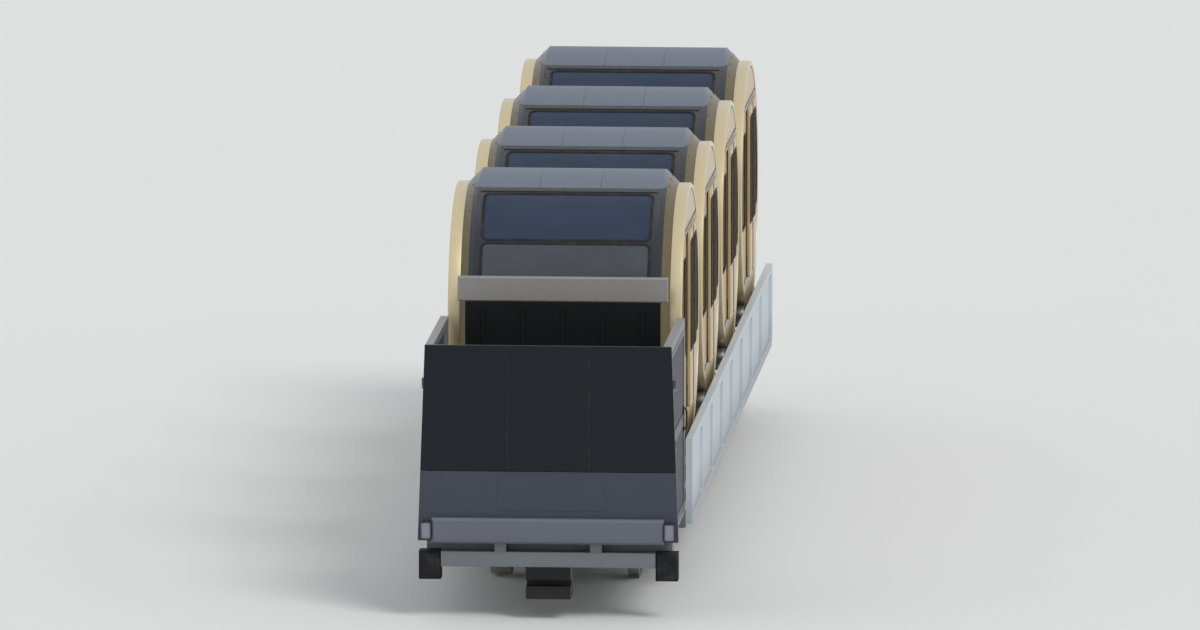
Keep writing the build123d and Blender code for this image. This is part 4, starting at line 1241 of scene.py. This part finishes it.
def wheel(outer, hub, right):
    """A wheel's profile from its tread outline: a tyre, a dished web and a hub, with rounds
    where they meet. right holds the (x, r) points of the right half of the tread."""
    half = right + [(outer, 0.245), (0.020, 0.228), (0.020, 0.128), (hub, 0.110), (hub, 0.050)]
    whole = [(-x, r) for x, r in half] + half[::-1]
    radii = [0.002] * len(right) + [0.006, 0.02, 0.02, 0.006, 0.0]
    return rounded(whole[::-1], (radii[::-1] + radii)[::-1], 4)


flanged = wheel(*FLANGED, [(0.041, TREAD), (0.049, FLANGE_TOP), (FLANGED[0], FLANGE_TOP)])
plain = wheel(*PLAIN, [(0.112, TREAD), (PLAIN[0], TREAD - 0.008)])
axle = np.roll(np.concatenate([HALF_AXLE, flipped(HALF_AXLE)]), 1, 0)
hub_bolts = [studs(circle_of(8, 0, 0.085, side * (RAIL_X + hub)), (side, 0, 0), 0.011, 0.012)
             for side, hub in ((1, FLANGED[1]), (-1, PLAIN[1]))]
set_part = joined([moved(lathe(flanged, 120), (RAIL_X, 0, 0)),
                   moved(lathe(plain, 120), (-RAIL_X, 0, 0)), lathe(axle, 40), *hub_bolts])
for n in range(1, 5):
    y, z = JOINTS[f"axle_{n}"]["pos_m"][1:]
    wheels = make(f"wheelset_{n}_turned", f"wheelset_{n}", WHEEL, set_part, (0, y, z),
                  merge=1e-5, about=(y, z))
    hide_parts(f"wheelset_{n}")
print("wheelset of", len(set_part[1]), "faces")

# %% Bogies
PIN_RADIUS, PIN_CUT = 0.045, 0.001

# Faces of an axle box and of a bogie's side, an axle's distance from the pin, and where the
# side's bolts are: along and up from the pin
BOX_X, SIDE_X, AXLE_DY = 0.460, 0.430, 0.85
SIDE_BOLTS = [(0.12, 0.02), (0.30, 0.0), (0.30, -0.07), (0.52, -0.03), (0.64, -0.12)]


def slimmed(piece, y, z):
    """Draws the points of a cross pin in towards its axis by a small cut, so that the flats of
    the pin stay clear of those of its bearing when the bogie rocks."""
    points = np.empty(len(piece.data.vertices) * 3)
    piece.data.vertices.foreach_get("co", points)
    points = points.reshape(-1, 3)
    out = points[:, 1:] - (y, z)
    away = np.maximum(np.linalg.norm(out, axis=1), PIN_CUT)
    on_pin = away < PIN_RADIUS + PIN_CUT
    points[:, 1:] -= out / away[:, None] * (on_pin * PIN_CUT)[:, None]
    piece.data.vertices.foreach_set("co", points.ravel())
    return piece


box_ring = lathe([(0.0, 0.063), (0.012, 0.063), (0.012, 0.118), (0.0, 0.124)], 48)
box_bolts = studs(circle_of(6, 30, 0.104, 0.011), (1, 0, 0), 0.009, 0.009)
box_dress = joined([box_ring, box_bolts])
axle_z = JOINTS["axle_1"]["pos_m"][2]
for b in (1, 2):
    body = f"bogie_{b}"
    _, y, z = JOINTS[f"rock_{b}"]["pos_m"]
    slimmed(refined(f"bogie_{b}_frame", body, BOGIE, 0.005), y, z)
    rings = [moved(box_dress, (BOX_X, y + dy, axle_z)) for dy in (-AXLE_DY, AXLE_DY)]
    bolts = studs([(SIDE_X, y + side * dy, z + dz) for side in (-1, 1) for dy, dz in SIDE_BOLTS],
                  (1, 0, 0), 0.012, 0.010)
    dress = make(f"bogie_{b}_boxes", body, BOGIE, mirrored(joined([*rings, bolts]), 0))
print("bogies dressed")

# %% [markdown]
# ## Underframe and side beams
#
# Girders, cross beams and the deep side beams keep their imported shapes. A copy of each gets
# rounded edges, since a rolled or pressed edge is never sharp and its highlight is what
# makes it read as metal. Rows of bolts, pipes and air tanks are added under the floor.


# %% Beams with rounded edges
FRAMES = {"side_beams": (BEAM, "beam_grey", 0.006), "girders": (FRAME, "frame_grey", 0.004),
          "cross_beams": (CROSS, "frame_grey", 0.005),
          "roller_stands": (FRAME, "frame_grey", 0.003),
          "rope_anchor": (STEEL, "wheel_steel", 0.003),
          "corner_buffers": (BUFFER, "black_rubber", 0.006),
          "front_block": (BLACK, "black_paint", 0.006)}
for node, (finish, slot, edge) in FRAMES.items():
    refined(node, "chassis", finish, edge)

beam_low, beam_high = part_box("side_beams")
BOLT_X = beam_high.x - 0.007
middle_z = (beam_low.z + beam_high.z) / 2
rib_y = sorted([AXES[i][1] for i in AXES] + [AXES[i][1] - HALF_PITCH for i in (2, 3, 4)])
flange_y = np.arange(beam_low.y + 0.25, beam_high.y - 0.2, 0.35)
beam_bolts = [(BOLT_X, y, z) for y in flange_y for z in (beam_low.z + 0.045, beam_high.z - 0.045)
              if y < beam_high.y - 0.3 or z > middle_z]
rib_bolts = [(BOLT_X, y, z) for y in rib_y for z in np.arange(0.95, 1.60, 0.15)]
studded = mirrored(studs(beam_bolts + rib_bolts, (1, 0, 0), 0.010, 0.007), 0)
make("side_beam_bolts", "chassis", BEAM, studded)
print("bolts on the side beams:", 2 * (len(beam_bolts) + len(rib_bolts)))

# %% Pipes and tanks under the floor
girder_low, girder_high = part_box("girders")
PIPE_Z, PIPE_RISE = 0.690, 0.015
TANK_X, TANK_Z, TANK_HALF, TANK_RADIUS = 0.20, 0.612, 0.45, 0.095

pipe_parts = []
for x, r in ((0.440, 0.016), (0.395, 0.012)):
    run = [(x, girder_low.y + 0.42, PIPE_Z + PIPE_RISE), (x, girder_low.y + 0.55, PIPE_Z),
           (x, 0.0, PIPE_Z), (x, girder_high.y - 0.55, PIPE_Z),
           (x, girder_high.y - 0.42, PIPE_Z + PIPE_RISE)]
    pipe_parts.append(bar(run, r))
cross_y = [AXES[i][1] - HALF_PITCH for i in AXES]
clips = boxes([(0.375, 0.465, y - 0.02, y + 0.02, PIPE_Z - 0.022, 0.7155) for y in cross_y])
pipes = make("brake_pipes", "chassis", STEEL, mirrored(joined(pipe_parts), 0))
make("pipe_clips", "chassis", BLACK, mirrored(clips, 0), bevel=0.003)
tank_edge = rounded([(-TANK_HALF, 0.0), (TANK_HALF, 0.0), (TANK_HALF, TANK_RADIUS),
                     (-TANK_HALF, TANK_RADIUS)], [0.0, 0.0, 0.05, 0.05], 8)
tank = turned_along(lathe(tank_edge, 40))
r0, r1 = TANK_RADIUS - 0.001, TANK_RADIUS + 0.006
strap = turned_along(lathe([(-0.025, r0), (0.025, r0), (0.025, r1), (-0.025, r1)], 40))
tanks = [moved(tank, (TANK_X, y, TANK_Z)) for y in cross_y[1:3]]
straps = [moved(strap, (TANK_X, y + dy, TANK_Z)) for y in cross_y[1:3] for dy in (-0.055, 0.055)]
make("air_tanks", "chassis", BLACK, mirrored(joined(tanks), 0), merge=1e-5)
make("tank_straps", "chassis", STEEL, mirrored(joined(straps), 0))
print("pipes", len(pipe_parts) * 2, "tanks", len(tanks) * 2)

# %% [markdown]
# ## Goods box and front
#
# The downhill end is a box with a sheet front in two colours: gloss black over slate. The
# place of the sign is left bare: a plain plate with a thin shadow joint round it. Below are
# the bumper band with a lamp at each end. The sides are gates, and the deck has a raised
# tread.


# %% Front panels, bumper and frame of the box
BOX = {"front_panel_upper": (BLACK_GLOSS, "front_black", 0.006),
       "front_panel_lower": (SLATE, "front_slate", 0.004),
       "bumper": (BAND, "bumper_grey", 0.004), "box_posts": (POSTS, "post_grey", 0.004),
       # The headboard's near black is painted shade under the front drum.
       "headboard": (HEAD_DARK, "headboard_dark", 0.004),
       "headboard_beam": (HEAD_LIGHT, "post_grey", 0.003),
       "goods_deck": (DECK, "deck_plate", 0.003)}
for node, (finish, slot, edge) in BOX.items():
    refined(node, "chassis", finish, edge)
for side in ("right", "left"):
    refined(f"gate_{side}", f"gate_{side}", GATE, 0.003)

FRONT_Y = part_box("front_panel_lower")[0].y
FRONT_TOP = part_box("front_panel_upper")[1].z
FRONT_FOOT = 0.870
TOP_HALF, FOOT_HALF = 1.380, 1.460
SIGN = (-0.56, 0.64, 1.235, 1.650)


def front_half(z):
    """Half the width of the tapered front at a height: it grows evenly downwards."""
    return TOP_HALF + (FOOT_HALF - TOP_HALF) * (FRONT_TOP - z) / (FRONT_TOP - FRONT_FOOT)


sign = plate(rectangle(*SIGN, 0.012), [], -0.005, 0.0, "y")
make("bare_sign_plate", "chassis", SLATE, sign, (0, FRONT_Y, 0), bevel=0.0015)
edge_z = np.arange(1.76, FRONT_TOP - 0.03, 0.16)
front_bolts = [(s * (front_half(z) - 0.035), FRONT_Y, z) for s in (-1, 1) for z in edge_z]
front_bolts += [(x, FRONT_Y, z) for x in np.arange(-1.2, 1.21, 0.2)
                for z in (FRONT_TOP - 0.035, 1.715)]
make("front_fixings", "chassis", BLACK_GLOSS,
             studs(front_bolts, (0, -1, 0), 0.009, 0.004))
joint_strips = boxes([(x - 0.006, x + 0.006, FRONT_Y - 0.0025, FRONT_Y + 0.001, 1.684,
                       FRONT_TOP - 0.010) for x in (-0.46, 0.46)])
make("front_joint_strips", "chassis", SEAL, joint_strips)
print("front panel", round(2 * TOP_HALF, 2), "to", round(2 * FOOT_HALF, 2))

# %% Lamps
lamp_low, lamp_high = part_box("end_lamps")
LAMP = (lamp_high.x - 0.125, lamp_high.x, lamp_low.z, lamp_high.z)
LAMP_EDGE = 0.010
lamp_case = rectangle(*LAMP, 0.024)
lens_edge = rectangle(LAMP[0] + LAMP_EDGE, LAMP[1] - LAMP_EDGE, LAMP[2] + LAMP_EDGE,
                      LAMP[3] - LAMP_EDGE, 0.018)
case = plate(lamp_case, [lens_edge], lamp_low.y + 0.001, lamp_high.y, "y")
back = plate(lens_edge, [], lamp_low.y + 0.050, lamp_high.y, "y")


def lens_dome(outline, y, rise):
    """A lens: rings of the outline drawn in towards its middle by t, standing out by
    rise (1 - (1 - t)^2), closed by one point."""
    outline = np.asarray(outline, float)
    middle = outline.mean(0)
    t = np.linspace(0, 1, 9)[:-1]
    rings = middle + (outline - middle) * (1 - t)[:, None, None]
    depth = np.broadcast_to((y - rise * (1 - (1 - t) ** 2))[:, None], rings.shape[:2])
    points = np.stack([rings[..., 0], depth, rings[..., 1]], -1).reshape(-1, 3)
    points = np.concatenate([points, [(middle[0], y - rise, middle[1])]])
    faces = grid_faces(len(t), len(outline), False, True)
    k = np.arange(len(outline))
    last = (len(t) - 1) * len(outline)
    faces += np.stack([last + k, last + (k + 1) % len(k), np.full(len(k), len(points) - 1)],
                      1).tolist()
    return points, faces


lens = lens_dome(lens_edge, lamp_low.y + 0.012, 0.008)
cases = make("lamp_cases", "chassis", HOUSING, mirrored(joined([case, back]), 0), bevel=0.003)
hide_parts("end_lamps")
make("lamp_lenses", "chassis", LENS, mirrored(lens, 0), wall=0.004)
print("lamps at x", round(LAMP[0], 3), "to", round(LAMP[1], 3))

# %% Tread on the deck, bolts and gate fittings
TREAD_PITCH, TREAD_MARGIN = 0.07, 0.05

# The latch's handle in (x, z), and the ridges on a gate: from and to in x, and in z below and
# above the latch
HANDLE = [(1.376, 1.86), (1.400, 1.87), (1.408, 1.90), (1.408, 2.06), (1.400, 2.09), (1.376, 2.10)]
RIDGE_X, RIDGE_Z = (1.3628, 1.3690), ((1.045, 1.885), (2.06, 2.90))

deck_low, deck_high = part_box("goods_deck")
grid_x, grid_y = np.meshgrid(np.arange(deck_low.x + TREAD_MARGIN, deck_high.x - 0.03, TREAD_PITCH),
                             np.arange(deck_low.y + TREAD_MARGIN, deck_high.y - 0.03, TREAD_PITCH),
                             indexing="ij")
centres = np.stack([grid_x.ravel(), grid_y.ravel()], 1)
lean = (np.indices(grid_x.shape).sum(0) % 2 * 2 - 1).ravel() * math.pi / 4


def tread(centres, lean, length=0.024, width=0.006, height=0.003):
    """Raised tread bars: a diamond turned by an angle at each place, with a flat top that is
    smaller by a third."""
    x, y = np.array([[-length, 0], [0, -width], [length, 0], [0, width]]).T
    c, s = np.cos(lean)[:, None], np.sin(lean)[:, None]
    turned = np.stack([x * c - y * s, x * s + y * c], -1)
    flat = turned[..., :1] * 0
    low = np.concatenate([turned + centres[:, None], flat], -1)
    high = np.concatenate([turned * 0.66 + centres[:, None], flat + height], -1)
    points = np.concatenate([low, high], 1)
    one = [[0, 1, 5, 4], [1, 2, 6, 5], [2, 3, 7, 6], [3, 0, 4, 7], [4, 5, 6, 7], [3, 2, 1, 0]]
    return points.reshape(-1, 3), repeated(one, len(centres), 8)


make("deck_tread", "chassis", DECK, tread(centres, lean),
             (0, 0, deck_high.z - 0.0002))
gate_low, gate_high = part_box("gate_right")
latch_y = gate_high.y - 0.075
ridges = boxes([(*RIDGE_X, y, y + 0.05, *z) for z in RIDGE_Z
                for y in np.arange(gate_low.y + 0.16, gate_high.y - 0.16, 0.10)])
latch = joined([bar([(x, latch_y, z) for x, z in HANDLE], 0.010),
                boxes([(1.374, 1.381, latch_y - 0.03, latch_y + 0.03, 1.835, 2.125)])])
for side, across in (("right", 1), ("left", -1)):
    body = f"gate_{side}"
    make(f"{body}_ridges", body, GATE, turned_to(ridges, across, 1), bevel=0.002)
    make(f"{body}_latch", body, BLACK, turned_to(latch, across, 1), bevel=0.0015)
head_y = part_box("headboard")[0].y
head_ribs = boxes([(x - 0.025, x + 0.025, head_y - 0.012, head_y + 0.001, 0.95, 3.20)
                   for x in (-0.90, -0.45, 0.0, 0.45, 0.90)])
make("headboard_ribs", "chassis", HEAD_DARK, head_ribs, bevel=0.003)
head_bolts = studs([(x, head_y, z) for x in np.arange(-1.14, 1.15, 0.19) for z in (3.29, 3.51)],
                   (0, -1, 0), 0.008, 0.005)
make("headboard_bolts", "chassis", HEAD_LIGHT, head_bolts)
print("tread bars:", len(centres))

# %% [markdown]
# ## Camera, light and floor
#
# The photograph looks up the track from a little to the right and above, from far away, so the
# camera stands 300 m off with a long lens. The light is a pale sky all round and one soft sun,
# at a level where a colour renders about as it is written.

# %% Camera
AZIMUTH, ELEVATION, DISTANCE = 4.0, 8.1, 300.0
LENS_LENGTH, SENSOR = 785.0, 36.0
middle = (cad_low + cad_high) / 2
a, e = math.radians(AZIMUTH), math.radians(ELEVATION)
eye = Vector((math.sin(a) * math.cos(e), -math.cos(a) * math.cos(e), math.sin(e))) * DISTANCE
camera_data = bpy.data.cameras.new("camera")
camera_data.lens, camera_data.sensor_width = LENS_LENGTH, SENSOR
camera_data.clip_start, camera_data.clip_end = 1.0, 2000.0
camera = linked("camera", camera_data)
camera.location = middle + eye
camera.rotation_euler = (-eye).to_track_quat("-Z", "Y").to_euler()
bpy.context.scene.camera = camera

# %% Floor and light
FLOOR_HALF = 600.0
floor_points = FLOOR_HALF * np.array([(-1, -1, 0), (1, -1, 0), (1, 1, 0), (-1, 1, 0)])
floor_mesh = bpy.data.meshes.new("floor")
floor_mesh.from_pydata(floor_points.tolist(), [], [[0, 1, 2, 3]])
floor = linked("floor", floor_mesh)
ground = Finish("floor_pale", roughness=0.9)
cloud = ground.noise(0.15, 2.0).spread(0.985, 1.015)
floor_mesh.materials.append(ground.wear(base_color=ground.scaled(tone(224, 224, 222), cloud)))

world = bpy.data.worlds.new("studio")
world.use_nodes = True
sky = world.node_tree.nodes["Background"]
sky.inputs["Color"].default_value = (0.95, 0.97, 1.0, 1.0)
sky.inputs["Strength"].default_value = 0.72
bpy.context.scene.world = world
lamp_data = bpy.data.lights.new("sun", "SUN")
lamp_data.energy, lamp_data.angle = 1.3, math.radians(25)
sun = linked("sun", lamp_data)
sun_way = Vector((0.55, -0.62, 0.85))
sun.rotation_euler = sun_way.to_track_quat("Z", "Y").to_euler()
sun.location = sun_way * 20
bpy.context.scene.view_settings.view_transform = "Standard"
